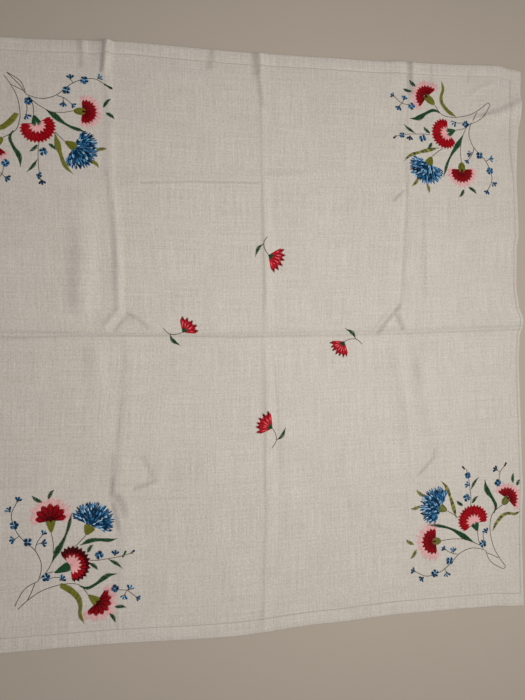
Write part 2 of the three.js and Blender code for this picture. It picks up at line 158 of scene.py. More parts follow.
# Narrower folds on them, in the same columns. A negative rise is a trough.
CRISP_CREASES = chart("name left right *at",
    ("centre crease, level", 3.6, 3.6, (-425, 6, 0.5), (-254, 1, 0.7), (-93, -2, 0.7),
     (195, 2, 0.6), (410, 7, 0.5)),
    ("right quarter crease, pressed in", 7, 6, (212, 40, 0), (216, 61, -1.7), (220, 111, -1.7),
     (224, 160, -1.6), (227, 189, -1.5), (228, 250, -1.4), (229, 310, 0)),
    ("left quarter crease, pressed in", 7, 7, (-208, -60, 0), (-211, -97, -0.6),
     (-213, -140, -0.6), (-215, -170, 0)),
    ("between the two lower right creases", 9, 9, (219, -20, 0), (220, -57, -0.8), (226, -100, 0)),
    ("beside the centre crease", 8, 8, (-9, -60, 0), (-10, -98, -0.8), (-9, -140, 0)),
    ("rise beside the left quarter crease, lower", 11, 14, (-204, -158, 0), (-204, -178, 0.9),
     (-204, -202, 0)),
    ("broad side of the upper hem's strongest draw", 6, 28, (-217, 430, 2.6), (-219, 404, 2.4),
     (-222, 376, 0)),
    ("rise before the draw at the right quarter crease", 24, 20, (219, 428, 2), (217, 400, 1.7),
     (216, 374, 0))
)
# Sharp pressed lines: how far they reach, how far they stand up and their points. A negative rise
# is pressed in, and painted shade darkens the linen's colour along it.
PRESSED_LINES = chart("name reach rise *through",
    ("right quarter crease, upper", 3.6, -0.5, 213 + 44j, 218 + 80j, 222 + 138j, 225 + 166j,
     227 + 189j, 228 + 228j),
    ("right quarter crease, top", 3.6, -0.45, 228 + 228j, 227 + 284j, 231 + 333j, 238 + 376j),
    ("right quarter crease, lower", 3.6, 0.5, 208 - 22j, 210 - 57j, 217 - 117j, 221 - 169j,
     224 - 210j),
    ("left quarter crease, upper", 4, 0.5, -207 + 38j, -208 + 75j, -208.5 + 113j, -210.5 + 153j,
     -216.5 + 212j, -219 + 236j),
    ("left quarter crease, lower", 3.6, 0.35, -196 - 26j, -199 - 62j),
    ("left quarter crease, lower, pressed in", 3.6, -0.15, -205 - 96j, -209 - 128j, -213 - 158j),
    ("left quarter crease, lower, sharpest", 3.6, -0.7, -218 - 166j, -219 - 194j),
    ("centre crease, upright", 3.6, 0.45, 4 + 426j, 4 + 230j),
    ("centre crease, upright, sharper", 3.8, 0.8, 4 + 230j, 4.5 + 150j, 5 + 66j, 3 + 36j),
    ("centre crease, upright, lower", 3.6, 0.5, 3 - 20j, 3 - 98j, -1 - 260j, -6 - 428j),
    ("centre crease, level", 4, -0.4, -425 + 6j, -314 + 4.4j, -254 + 2.5j, -93 - 1j, 54 + 0j,
     235 + 3j, 413 + 9j),
    ("centre crease, level, its sharp lower edge", 2.4, -0.75, -425 - 2j, -314 - 2.2j,
     -260 - 1.3j, -143 - 2.3j, -50 - 4.4j, 54 - 4.2j, 131 - 3.4j, 226 - 1.9j, 300 + 0.3j,
     375 + 2.3j, 410 + 3j),
    ("second ridge", 3.6, 0.65, 14 - 10j, 20 - 98j, 23 - 234j),
    ("upper quarter crease", 3, -0.75, -173 + 220j, -104 + 223.6j, -60 + 224.6j, -6 + 225.3j),
    ("upper quarter crease, left end", 3, -0.3, -206 + 217j, -173 + 220j),
    ("upper quarter crease, right of the centre", 7, -0.25, 10 + 241j, 66 + 243j),
    ("left quarter crease, foot", 4.5, -1.2, -219 - 200j, -220 - 224j),
    ("lower left star", 5, -0.75, -176 - 175j, -167 - 191j, -161.5 - 207j),
    ("foot of the lower left star", 4.5, -0.75, -162 - 208j, -174 - 213j, -188 - 217j),
    ("lower quarter crease, beside the star", 3.6, -0.3, -184 - 232j, -117 - 234.5j),
    ("hollow under the lower left star", 9, -0.9, -211 - 228j, -202 - 250j),
    ("left quarter crease, under the star", 4.5, -1, -218 - 238j, -214 - 254j, -211 - 272j),
    ("crumple on the left quarter crease", 4, 0.5, -227 + 226j, -217 + 229j, -208 + 224j),
    ("left star's inner fold", 4.5, -0.9, -196 + 31j, -184 + 24.5j, -167 + 10j),
    ("left star's outer fold", 6, 0.8, -206 + 36j, -216 + 23j, -228 + 9j),
    ("left star's inner edge", 4.5, -0.8, -199 + 24j, -208 + 14j, -212 + 7j),
    ("right star's inner fold", 5, -1.5, 211 + 41j, 192 + 20j, 175 + 0j),
    ("right star's outer fold", 5, 1.3, 208 + 42j, 214 + 24j, 220 + 8j),
    ("right star's outer edge", 4.5, -1, 205 + 27j, 210 + 16j, 214 + 6j),
    ("slant down to the right crease", 4, -1, 206 + 204j, 214 + 212j, 223 + 220j),
    ("outer right crease", 3.8, 0.6, 257 + 207j, 258 + 128j, 256 + 50j),
    ("lower right level crease", 4, 0.4, 163 - 215j, 213 - 216.5j),
    ("lower right short fold", 4, 0.5, 206 - 224j, 240 - 227j),
    ("lower right small fold", 4, 0.9, 215 - 208j, 222 - 216j, 228 - 225j),
    ("lower right corner fold", 3.4, -0.9, 233 - 217j, 247 - 203j, 259 - 192j, 260 - 180j),
    ("crumple below it", 4.5, 0.7, 192 - 240j, 206 - 244j, 221 - 252j),
    ("left double crease", 3.6, 0.5, -245 - 4j, -245 - 44j),
    ("left double crease, fading", 3.6, 0.25, -245 - 44j, -241 - 161j),
    ("faint upright line on the right", 3, 0.2, 321 + 3j, 316 - 137j),
    ("corner swell, steep end", 5, 1.6, 330 + 337j, 352 + 341j, 372 + 346j),
    ("corner swell, outer end", 13, 2, 368 + 342j, 398 + 355j, 424 + 370j),
    ("corner streak", 5, 1.3, 339 + 374j, 356 + 389j, 382 + 399j),
    ("corner streak below it", 5, 0.8, 379 + 363j, 424 + 382j),
    ("upper hem, first draw", 6, -0.8, -259.5 + 424j, -258.5 + 388j),
    ("upper hem, strongest draw", 7, 1.8, -219 + 428j, -222 + 404j, -225 + 380j),
    ("upper hem, its shadow", 5, -0.8, -226 + 426j, -230 + 384j),
    ("upper hem, small draw", 4, -0.3, -127 + 412j, -127 + 394j),
    ("upper hem, middle draw", 6, -1.1, -69.5 + 426j, -73.5 + 398j),
    ("upper hem, draw at the centre crease", 9, -1.1, -6 + 427j, -4 + 396j),
    ("centre crease under it", 6, -0.6, -4 + 396j, 366j, 5 + 343j),
    ("upper hem, draw at the right quarter crease", 7, -1.9, 239 + 423j, 238 + 378j),
    ("upper hem, draw beyond it", 4, -0.6, 275 + 422j, 274 + 392j),
    ("upper hem, last draw", 4, -0.5, 338 + 414j, 337 + 400j),
    ("lower hem, first draw", 4, 0.6, -276 - 376j, -276 - 402j),
    ("lower hem, second draw", 4, 0.7, -211 - 380j, -210 - 408j),
    ("lower hem, draw at the centre crease", 4, 0.6, -7 - 398j, -10 - 424j)
)
# Soft heights that washed linen keeps: from knot to knot, how high, and their random numbers' seed
UNEVENNESS = chart("spacing height seed", (86, 0.9, 11), (37, 0.6, 12), (15, 0.18, 13))
KNOTS = 80  # how many random values their net has on a side
PUCKERS = {"spacing": 13.0, "height": 0.75, "seed": 14, "reach": 100}  # where stitches draw it in
LEAST_LIFT = 0.35  # how high the cloth's underside stands where nothing else lifts it
WELD = 0.01  # places closer than this are one

# The lower left spray as it was drawn, before it was copied to the corners. foot is the foot of a
# flower's green cup and faces the way the flower looks in degrees. The rest are lengths along or
# from the flower's axis: cup the length of its cup, mouth how far from its foot the petals spread
# from, radius their reach from there, spread the half angle that they open to, sides how much
# shorter they are at either side, fringe how far the fringe stands out beyond them, and throat the
# share of their length that is darkest. The scarlet carnation also has star, the reach of its pale
# heart, teeth, how many points it has, tips, the floss that they are in, and band, from which
# share of its reach they are, on its right and on its left. Its cup starts at starts, opens as
# wide as opens, and is cut in at its mouth by notch.
FRINGED_CARNATIONS = (
    {"name": "left carnation", "group": "left", "foot": -314 - 268j, "faces": 91, "cup": 17.5,
     "mouth": 12.5, "radius": 21.5, "spread": 95, "sides": 0.2, "fringe": 8.5, "throat": 0.22},
    {"name": "right carnation", "group": "right", "foot": -268 - 361j, "faces": -42, "cup": 19,
     "mouth": 15, "radius": 18.5, "spread": 98, "sides": -0.08, "fringe": 8.5, "throat": 0.22},
)
SCARLET_CARNATION = {"name": "middle carnation", "group": "middle", "foot": -306 - 324j,
                     "faces": 20, "cup": 17, "mouth": 14, "radius": 28.5, "spread": 108,
                     "sides": 0.28, "star": 13.4, "teeth": 19, "tips": "scarlet", "starts": 0,
                     "notch": 0.4, "opens": 15.5, "band": (0.8, 0.8)}
CORNFLOWER = {"name": "cornflower", "group": "cornflower", "foot": -268 - 277j, "faces": 64,
              "cup": 15, "opens": 14.5, "mouth": 12, "radius": 34, "spread": 93, "sides": 0.32}

# Leaves, through listed points. A leaf's widths are pairs: how far along it is, and the width.
LONG_LEAVES = chart("name group widths *through",
    ("by the left carnation", "middle", ((0, 1), (0.26, 9.2), (0.58, 3.8), (0.8, 6), (1, 0.8)),
     -317 - 313j, -309 - 299j, -299 - 285j, -292 - 270j, -286 - 248j),
    ("under the cornflower", "cornflower",
     ((0, 1.4), (0.25, 7.6), (0.55, 5), (0.74, 6.4), (1, 0.8)), -280 - 291.5j, -264 - 287.5j,
     -248 - 283j, -232 - 277j, -222 - 268j),
    ("over the right carnation", "right",
     ((0, 1.8), (0.22, 5.2), (0.42, 4.8), (0.7, 8.2), (1, 1)), -279 - 348j, -268 - 352j,
     -255 - 346j, -243 - 338j, -228 - 336j),
    ("lowest", "right", ((0, 7.5), (0.2, 9.4), (0.5, 8.4), (0.7, 6), (0.85, 5.8), (1, 0.8)),
     -305 - 344j, -293 - 351j, -282 - 363j, -280 - 374j, -282 - 385j, -278 - 396j),
    ("on the right branch", "branch", ((0, 1), (0.45, 5.8), (1, 0.7)), -239 - 313j, -229 - 319j,
     -220 - 327j)
)
BROADER_LEAF = ((0, 1.8), (0.22, 6), (0.42, 5.6), (0.7, 9.4), (1, 1))
BROADER_OLIVE = ((0, 1.4), (0.25, 9.4), (0.55, 6), (0.74, 7.4), (1, 0.8))
BLUNTER_OLIVE = ((0, 2), (0.15, 7.2), (0.5, 6.8), (0.7, 5.6), (0.85, 5), (1, 0.8))
SLENDER_OLIVE = ((0, 1.4), (0.2, 5.6), (0.4, 6.8), (0.7, 5.2), (0.85, 4.6), (1, 0.8))
LEAF_SHADES = {"shaded": 0.6}  # how strongly a floss's tone swings along a leaf, if not by 0.2
SMALL_BEND = 0.5 + 0.08j  # how far a small leaf's middle is along it, and off its line
STRAIGHTER_LEAF = (-276 - 290j, -263 - 285j, -249 - 285j, -235 - 287j, -226 - 285j)
SMALL_WIDTHS = ((0, 2), (0.3, 5.8), (0.6, 5.8), (1, 1))
# Small leaves, in pairs which show beyond the flowers
SMALL_LEAVES = chart("group foot tip name",
    ("left", -325 - 228j, -338 - 218j),
    ("left", -317 - 224j, -309 - 212j),
    ("middle", -266 - 302j, -258 - 292j),
    ("middle", -263 - 317j, -253 - 327j),
    ("right", -233 - 381j, -218 - 383j),
    ("right", -239 - 388j, -230 - 399j, "outer small leaf"),
    ("cornflower", -259 - 234j, -262 - 219j),
    ("cornflower", -245 - 242j, -234 - 229j)
)

# Stems, through listed points, from one group to the next. Some lead to a flower, a bud, a leaf or
# the feet's crossing, or come off one of them, and follow it where a copy moves it.
OFF_A_LEAF = 0.56  # what is left of a leaf's lean at its foot where a stem comes off it
STEM_COLUMNS = "name floss groups off to *through"
STEMS = chart(STEM_COLUMNS,
    ("upper foot", "bark", ("feet", "joint"), None, "feet's crossing", -364 - 364j, -355 - 348j,
     -346 - 340j, -333 - 335j),
    ("lower foot", "bark", ("feet", "right"), None, "right carnation", -360 - 368j, -346 - 357j,
     -328 - 347j, -306 - 342j, -293 - 342j, -283 - 344j, -276 - 349j, -268 - 361j),
    ("tie between them", "bark", ("joint", "feet"), "feet's crossing", "feet's crossing",
     -337 - 337j, -342 - 348j, -347 - 357j),
    ("left branch", "bark", ("joint", "left"), None, None, -333 - 335j, -329 - 322j, -329 - 309j,
     -336 - 293j, -348 - 281j, -358 - 268j, -364 - 253j, -365 - 240j, -357 - 224j),
    ("its fork", "bark", ("left", "left"), None, None, -336 - 293j, -333 - 282j, -325 - 271j),
    ("twig to a side flower", "bark", ("left", "left"), None, None, -356 - 271j, -362 - 275j),
    ("twig to an inner bud", "bark", ("left", "left"), None, None, -334 - 284j, -327 - 283j),
    ("under the left carnation", "rust", ("middle", "left"), "by the left carnation",
     "left carnation", -313 - 299j, -312 - 284j, -314 - 268j),
    ("under the left leaf", "bark", ("joint", "middle"), None, "by the left carnation",
     -331 - 332j, -323 - 324j, -317 - 313j),
    ("under the middle carnation", "bark", ("joint", "middle"), None, None, -328 - 330j,
     -319 - 325j, -306 - 324j),
    ("under the cornflower", "bark", ("middle", "cornflower"), None, None, -284 - 294j,
     -276 - 286j, -268 - 277j),
    ("right branch", "rust", ("branch", "branch"), None, None, -264 - 312j, -252 - 313j,
     -240 - 312j, -227 - 311j, -207 - 307j),
    ("lowest branch", "rust", ("right", "right"), None, None, -231 - 358j, -216 - 360j,
     -203 - 371j),
    ("twig up from it", "rust", ("right", "right"), None, None, -216 - 360j, -214 - 358j,
     -211 - 355j),
    ("twig down from it", "rust", ("right", "right"), None, "lowest lower bud", -216 - 360j,
     -218 - 363j, -219 - 366j),
    ("between the lowest flowers", "bark", ("joint", "joint"), None, None, -328 - 332j,
     -319 - 333j, -311 - 332j, -304 - 333j)
)
DOUBLED_STEM, CLOSING_STITCH = chart(STEM_COLUMNS,
    ("upper foot, worked twice", "bark", ("feet", "joint"), None, None, -364 - 364j,
     -352 - 351j, -343 - 342j, -334 - 336j),
    ("stitch that joins the feet", "bark", ("feet", "feet"), None, None, -364 - 364j,
     -362 - 367j, -360 - 368j)
)

# Small blue flowers: how many petals show, the way the flower looks, and how far they reach
FORGET_ME_NOTS = chart("name group at petals faces radius",
    ("joint flower", "joint", -323 - 331j, 5, 20, 6.4),
    ("joint bud", "joint", -303 - 333j, 3, 35, 7.2),
    ("second flower", "left", -362 - 256j, 5, 10, 6.6),
    ("first flower", "left", -345 - 280j, 4, 50, 6.8),
    ("side bud", "left", -362 - 275j, 3, 190, 6.8),
    ("outer bud", "left", -367 - 237j, 3, 130, 6.6),
    ("end bud", "left", -357 - 224j, 3, 65, 6.2),
    ("inner bud", "left", -327 - 283j, 3, 0, 6.8),
    ("inner end bud", "left", -325 - 271j, 3, 55, 5.4),
    ("branch flower", "branch", -251 - 306j, 4, 75, 6.8),
    ("branch bud", "branch", -230 - 308j, 3, 80, 6.8),
    ("branch third", "branch", -217 - 309j, 4, 60, 5),
    ("branch end", "branch", -207 - 307j, 1, 40, 5.2),
    ("lowest flower", "right", -232 - 356j, 4, 10, 6.4),
    ("lowest upper bud", "right", -212 - 355j, 3, 60, 6.8),
    ("lowest lower bud", "right", -219 - 366j, 3, 250, 6.4),
    ("lowest end bud", "right", -203 - 371j, 3, -30, 5.4)
)

# Where the spray's copies lie: quarter turns about the crossing of the creases, then the marker's
# small errors, as a turn in degrees about the spray's own middle and a shift. The rest is in the
# drawing's own frame. shifts moves its groups, leans the foot and the tip of a leaf or the feet's
# crossing, and widths gives a leaf other widths. teeth is how many points the fringed carnations
# have, mouths how wide their cups open and bulge, and puckers how strongly stitches draw the linen
# in. leaves, pairs and cups are the flosses of the long leaves, of the small leaves, of which some
# are left out, and of the cups. straighter is for the leaf under the cornflower, and extra has the
# stems of this copy alone. A flower's name stands before what the copy changes in it, or None
# where it is left out. A dark one is all in the deepest blue, and a leaf is one in green.
SPRAY_MIDDLE = -295 - 317j
SPRAY_COPIES = (
    {"name": "lower left", "quarters": 0, "turn": 1.4, "shift": 16.4 - 0.5j,
     "teeth": 7, "puckers": 0.7,
     "shifts": {"left": -0.7 - 0.4j, "middle": -1.8 + 0.8j, "cornflower": -1 - 0.4j,
                "branch": -1.2 - 0.1j, "right": -0.4 + 2.3j, "joint": -0.3 + 1.2j,
                "feet": -0.9 - 1.1j},
     "leans": {"by the left carnation": (3, 1 + 2j), "lowest": (0, 3.5 - 3.5j),
               "outer small leaf": (-1.1 - 0.8j, -3.1 - 3.3j)},
     "widths": {}, "straighter": True, "extra": (), "mouths": (14.5, 0.3), "cups": "olive",
     "leaves": ("green", "green", "green", "olive", "green"),
     "pairs": {"left": "green", "middle": "green", "right": "green"},
     "left carnation": {"foot": -314 - 270j, "mouth": 16.5, "radius": 24.5, "cup": 19.5,
                        "throat": 0.4, "fringe": 10},
     "right carnation": {"mouth": 16, "radius": 20, "sides": -0.12, "throat": 0.4,
                         "fringe": 9.5},
     "middle carnation": {"starts": -4.5, "cup": 20, "mouth": 18.2, "radius": 28.3, "faces": 21,
                          "spread": 106, "sides": 0.2, "star": 15.5, "teeth": 16,
                          "tips": "maroon", "band": (0.8, 0.5), "notch": 0.05, "opens": 14.5},
     "cornflower": {"faces": 62.5, "mouth": 14, "radius": 33.2, "spread": 90, "sides": 0.2,
                    "opens": 17.5},
     "joint bud": {"at": -304 - 336j}, "lowest upper bud": {"at": -213 - 359j},
     "branch third": {"at": -219 - 311j, "petals": 1, "leaf": True, "radius": 8.5},
     "branch end": {"dark": True}},
    {"name": "lower right", "quarters": 1, "turn": 0, "shift": 2 - 3.4j,
     "teeth": 11, "puckers": 0.6,
     "shifts": {"left": -0.2 + 3.1j, "middle": 2.5 + 0.2j, "cornflower": -2 + 1.2j,
                "branch": -1 - 2.2j, "right": 0.3 - 4.6j, "joint": 0.1 - 0.8j,
                "feet": 0.7 - 0.2j},
     "leans": {"by the left carnation": (-7 - 7j, -5.5 + 4.8j), "lowest": (0, 1.5 + 3.6j),
               "over the right carnation": (1 + 0.8j, 2.4 + 1.7j),
               "outer small leaf": (1.4 + 0.7j, 1.5 + 5.8j)},
     "widths": {"over the right carnation": BROADER_LEAF, "lowest": SLENDER_OLIVE},
     "leaves": ("green", "shaded", "green", "shaded", "green"), "mouths": (9.5, 2.6),
     "pairs": {"left": "shaded", "middle": "green", "right": "green", "cornflower": "shaded"},
     "cups": "shaded", "extra": (CLOSING_STITCH,),
     "left carnation": {"mouth": 9.5, "radius": 23.5, "cup": 15, "fringe": 10.5},
     "right carnation": {"foot": -266 - 362.2j, "mouth": 12.5, "radius": 18.8, "cup": 16,
                         "fringe": 8},
     "cornflower": {"mouth": 11}, "joint bud": {"at": -306.5 - 338j},
     "inner bud": {"at": -332 - 286.5j}, "inner end bud": {"at": -327.5 - 273j},
     "branch bud": {"at": -231.9 - 310.6j}, "branch third": {"petals": 4, "radius": 5.6},
     "branch end": {"at": -207 - 304j, "dark": True},
     "lowest upper bud": {"dark": True}, "lowest lower bud": None,
     "lowest end bud": {"at": -206 - 368.5j, "petals": 1, "dark": True}},
    {"name": "upper right", "quarters": 2, "turn": -0.4, "shift": 7.9 - 2.1j,
     "teeth": 12, "puckers": 0.8,
     "shifts": {"left": 1.1 - 2.8j, "middle": 1.5 + 2.6j, "cornflower": 4.6 - 0.1j,
                "branch": 1.8 + 0.3j, "right": -0.4 + 0.3j, "joint": 1.6 - 1.1j,
                "feet": -0.9 - 1.4j},
     "leans": {"by the left carnation": (-2.4 - 6j, 2.1 - 0.7j), "lowest": (0, -4.6 - 3.3j),
               "feet's crossing": (5.4 + 5j, 0)},
     "widths": {"over the right carnation": BROADER_LEAF, "lowest": BLUNTER_OLIVE},
     "leaves": ("green", "shaded", "green", "olive", "green"), "mouths": (9.5, 2.8),
     "pairs": {"left": "green", "middle": "green", "right": "green", "cornflower": "shaded"},
     "cups": "olive", "extra": (CLOSING_STITCH,),
     "left carnation": {"radius": 22.4}, "cornflower": {"radius": 33.8},
     "middle carnation": {"cup": 19.5, "notch": 0.45, "opens": 17},
     "right carnation": {"foot": -270 - 361j, "cup": 22, "mouth": 17.5, "radius": 20},
     "joint bud": {"at": -306.4 - 333j}, "inner bud": {"at": -330.5 - 281.5j},
     "branch bud": {"dark": True}, "branch end": {"dark": True}},
    {"name": "upper left", "quarters": 3, "turn": -2.6, "shift": 0.2 + 6.9j,
     "teeth": 13, "puckers": 1.2,
     "shifts": {"middle": 0.7 + 1.4j, "cornflower": -2.3 - 1.5j, "branch": -2.3 - 1.5j,
                "right": -1.1 - 0.9j, "joint": -1.3 + 0.3j, "feet": 1.2 + 2.7j},
     "leans": {"by the left carnation": (1.3 + 3.6j, -1.1 - 3.6j),
               "under the cornflower": (0, 4j)},
     "widths": {"under the cornflower": BROADER_OLIVE},
     "leaves": ("green", "olive", "green", "olive", "green"), "mouths": (9, 2.6),
     "pairs": {"left": "green", "middle": "green", "right": "green", "cornflower": "olive"},
     "cups": "olive", "extra": (DOUBLED_STEM,),
     "cornflower": {"cup": 18.4, "mouth": 14, "radius": 34},
     "left carnation": {"foot": -315.7 - 269j},
     "middle carnation": {"cup": 20, "notch": 0.5, "opens": 17},
     "end bud": {"at": -358 - 227j, "petals": 1, "leaf": True, "radius": 11},
     "branch bud": None,
     "branch third": {"at": -217 - 313j, "petals": 3, "radius": 6.8, "faces": 80},
     "branch end": {"at": -210 - 306j, "petals": 3, "radius": 6.4, "faces": 10, "dark": True}},
)

# The left sprig, drawn the same way, and its copies round the middle
SPRIG = {"foot": -124 + 3.5j, "faces": 56, "cup": 8.5, "opens": 12, "radius": 24, "spread": 54}
SPRIG_LEAF = {"through": (-141.5 - 1j, -136 - 10j, -124 - 16j),
              "widths": ((0, 0.8), (0.45, 6.6), (1, 0.6))}
SPRIG_STEM = (-152 + 6.5j, -146 + 1j, -141.5 - 1j, -133 - 0.5j, -124 + 3.5j)
SPRIG_MIDDLE = -130 + 5j
SPRIG_COPIES = chart("name quarters turn shift petals size",
    ("left", 0, -7.5, 6.1 - 0.1j, 5, 1),
    ("lower", 1, 3.1, 14.3 - 15.2j, 6, 1.07),
    ("right", 2, -3.5, -1.7 - 9.7j, 7, 0.98),
    ("upper", 3, 7.2, 4.8 - 7.4j, 6, 1.12)
)

# How stitches are made
STITCH = np.dtype([
    ("start", complex), ("end", complex), ("bow", float), ("width", float), ("to_width", float),
    ("rise", float), ("tone", float),
])
SECTION = ((-0.5, -0.25), (-0.36, 0.62), (0, 1), (0.36, 0.62), (0.5, -0.25))  # across, and up
RINGS = ((0.1, 0.62, 0.55), (0.5, 1, 1), (0.9, 0.62, 0.55))  # along, width and height
LONG_RINGS = ((0.05, 0.62, 0.5), (0.25, 0.95, 0.92), (0.5, 1, 1), (0.75, 0.95, 0.92),
              (0.95, 0.62, 0.5))
LONG_STITCH = 9.0  # a stitch longer than this takes the longer row of rings
DIVE = 0.3  # how far a stitch's ends go down into the cloth
RISE = 0.62  # how high a stitch's crown stands over the cloth
STRAND = 0.95  # the width of three strands laid flat
# Satin stitch: from one stitch to the next, how far its ends lean along a leaf as a share of its
# half width, how unevenly they end, how much wider than its pitch a stitch is, and how quickly a
# floss's tone swings along the leaf
SATIN = {"pitch": 0.8, "slant": 0.5, "uneven": 0.12, "overlap": 1.15, "waves": (1.5, 4.1)}
# A cup's stitches, how much its shoulders are rounded, and how much of its flare the notch spares
CUP = {"pitch": 0.7, "overlap": 1.3, "shoulder": 0.22, "flare": 0.25, "rise": RISE + 0.25}
CUP_FEET = {"fringed": 1.6, "scarlet": 1.0, "cornflower": 2.0, "sprig": 1.6}  # a cup's least width
# Stem stitch. apart is how far its stitches' ends lie off the line, on either side.
STEM_STITCH = {"width": 1.05, "long": 3.4, "step": 2.1, "rise": 0.5, "apart": 0.14}
# Long and short stitch: a fringed carnation's rows, outermost first. Their pitch is measured at
# a share of the fan's reach, and inner and outer are where they start and end as shares of it, or
# None for the flower's own throat. dark is how much darker than the petals they are, fan over
# which share of the fan they spread, and ragged how uneven their ends are.
FRINGED_ROWS = chart("floss at pitch inner outer width dark rise fan ragged",
    ("crimson", 1, 0.85, 0.45, 1, 1.05, 0.1, RISE, 1, 0.03),
    ("crimson", 0.66, 0.85, 0.2, 0.72, 1.1, 0.35, RISE + 0.1, 1, 0.05),
    ("throat", 0.3, 0.8, -0.13, None, 0.9, 0.2, RISE + 0.16, 0.9, 0.05)
)
# Its close fringe and its loose one, which stand out by shares of the flower's fringe
FRINGES = chart("pitch least most width rise",
    (0.62, 0.45, 0.75, 0.95, 0.36),
    (0.75, 0.6, 1.15, 0.7, 0.4)
)
FEW_PETALS = 9  # a fringed carnation with fewer has round ones, more darkly parted
SCARLET_PITCH = 0.85  # from stitch to stitch at a scarlet carnation's edge
TEETH_CUT = 0.14  # how deep its edge is cut between its points, as a share of its reach
HEART = {"sides": 0.3, "points": 9, "cut": 0.34}  # how its pale heart falls off and is cut
# A cornflower's dark under layer, and its florets: where each ring starts as a share of its
# reach, how far apart they are, their length as a share of its radius, and their widths. Those of
# the outermost ring and the others differ in how far they turn from their rays, in radians, and
# in the shares of pale and of deep blue ones.
UNDER_ROWS = ((0.02, 0.48), (0.4, 0.88))
UNDER_LAYER = {"pitch": 1.1, "width": 1.2, "to_width": 1.4, "rise": 0.3}
FLORET_RINGS = (0.08, 0.22, 0.36, 0.49, 0.61, 0.72, 0.82)
FLORET = {"pitch": 3.1, "length": 0.185, "foot": 3.2, "tip": 1.6}
OUTERMOST_FLORETS = (0.12, 0.08, 0.4)
OTHER_FLORETS = (0.28, 0.24, 0.25)
BUD_PETALS = 3  # a small flower with more petals than this is open
# Half angles in radians of a bud's petals, of a closed one and of a green one, and from one of a
# bud's petals to the next
PETAL = {"bud": 0.27, "closed": 0.36, "leaf": 0.2, "apart": math.radians(44)}
# How far to either side the stitches of a sprig's petal spread, as shares of the way to the next
# petal, and how far from the cup's foot they start
SPRIG_PETAL = {"half": 0.44, "middle": 0.15, "point": 0.16, "starts": 3.5}
SEEDS = {"stems": 100, "leaves": 200, "fringed carnations": 300, "scarlet carnations": 400,
         "cornflowers": 500, "forget-me-nots": 600, "sprigs": 700}  # each copy adds its number

# Hemstitching. A bundle's shares of the drawn band go from inside the hem to inside the linen.
BUNDLE_SHARES = (-0.45, -0.2, 0.2, 0.5, 0.8, 1.2, 1.45)
BUNDLE_WIDTHS = (0, 2.8, 2.5, 2.15, 2.5, 2.8, 0)
BUNDLE = {"height": 0.85 * THICKNESS, "crown": 0.45, "dive": 0.1}
SEWING = {"into": 1.5, "slant": 0.6, "width": 0.45, "rise": 0.3}  # its stitch into the hem

# Where the camera stands, how it is turned and what its lens sees, found from the cloth's own
# creases and corners in the picture
CAMERA_PLACE = (-110.1, -55.4, 767.2)
CAMERA_RIGHT = (0.9901, -0.0187, 0.139)
CAMERA_UP = (0.0129, 0.999, 0.0426)
PICTURE_HEIGHT = 700
FOCAL_PIXELS = 525.75
SENSOR_MM = 36.0
# The lamps' places, aims and sizes, in metres
WINDOW = {"place": (3.2, -0.9, 2.2), "aim": (0, 0, 0), "size": 1.8}
CEILING = {"place": (0.12, -0.02, 0.88), "aim": (0.12, -0.02, 0), "size": 0.4}
LAMP_COLOUR = (1.0, 0.975, 0.94)
ROOM_COLOUR = (1, 0.985, 0.96, 1)
FLOOR = {"half": 6.0, "low": 0.05 * MM}  # how far it reaches, and how far it is under the cloth


def linear(code):
    """An sRGB hex colour as linear red, green and blue."""
    levels = [int(code[i:i + 2], 16) / 255 for i in (1, 3, 5)]
    return tuple(v / 12.92 if v <= 0.04045 else ((v + 0.055) / 1.055) ** 2.4 for v in levels)


def add_node(tree, kind, inputs=None, **settings):
    """Adds a shader node to a tree, gives it its settings, and fills its inputs, which are named
    or numbered, with values or with other nodes' outputs."""
    node = tree.nodes.new("ShaderNode" + kind)
    for name, value in settings.items():
        setattr(node, name, value)
    for name, value in (inputs or {}).items():
        if isinstance(value, bpy.types.NodeSocket):
            tree.links.new(value, node.inputs[name])
        else:
            node.inputs[name].default_value = value
    return node


def new_material(name, **surface):
    """A material with a Principled surface, whose constant values are on its own sockets. Gives
    the material, its tree and the surface's node."""
    material = bpy.data.materials.new(name)
    material.use_nodes = True
    tree = material.node_tree
    shader = tree.nodes["Principled BSDF"]
    for socket, value in surface.items():
        shader.inputs[socket.replace("_", " ")].default_value = value
    return material, tree, shader


def colour(value):
    """A colour property's three values with an alpha of one, as a socket takes them."""
    return (*value[:3], 1.0)


# Surfaces of the cloth


def eased(pairs, position):
    """A table's value between its rows: the first value, and each step to the next row eased in
    by a smoothstep of the position between the two rows."""
    value = np.full(np.shape(position), float(pairs[0][1]))
    for (low, start), (high, end) in zip(pairs, pairs[1:]):
        share = np.clip((position - low) / (high - low), 0, 1)
        value += (end - start) * share * share * (3 - 2 * share)
    return value


def between(lines, nominal, position):
    """Where a nominal place lies: straight from one of the cloth's own lines to the next."""
    runs = [eased(line["run"], position) for line in lines]
    value = runs[0]
    for k, (low, high) in enumerate(zip(lines, lines[1:])):
        share = (nominal - low["nominal"]) / (high["nominal"] - low["nominal"])
        value = value + (runs[k + 1] - runs[k]) * np.clip(share, 0, 1)
    return value


def on_cloth(nominal_x, nominal_y):
    """A nominal place as it lies on the warped cloth, as a complex number."""
    x = between(UPRIGHT_LINES, nominal_x, nominal_y)
    y = between(LEVEL_LINES, nominal_y, nominal_x)
    return x + 1j * y


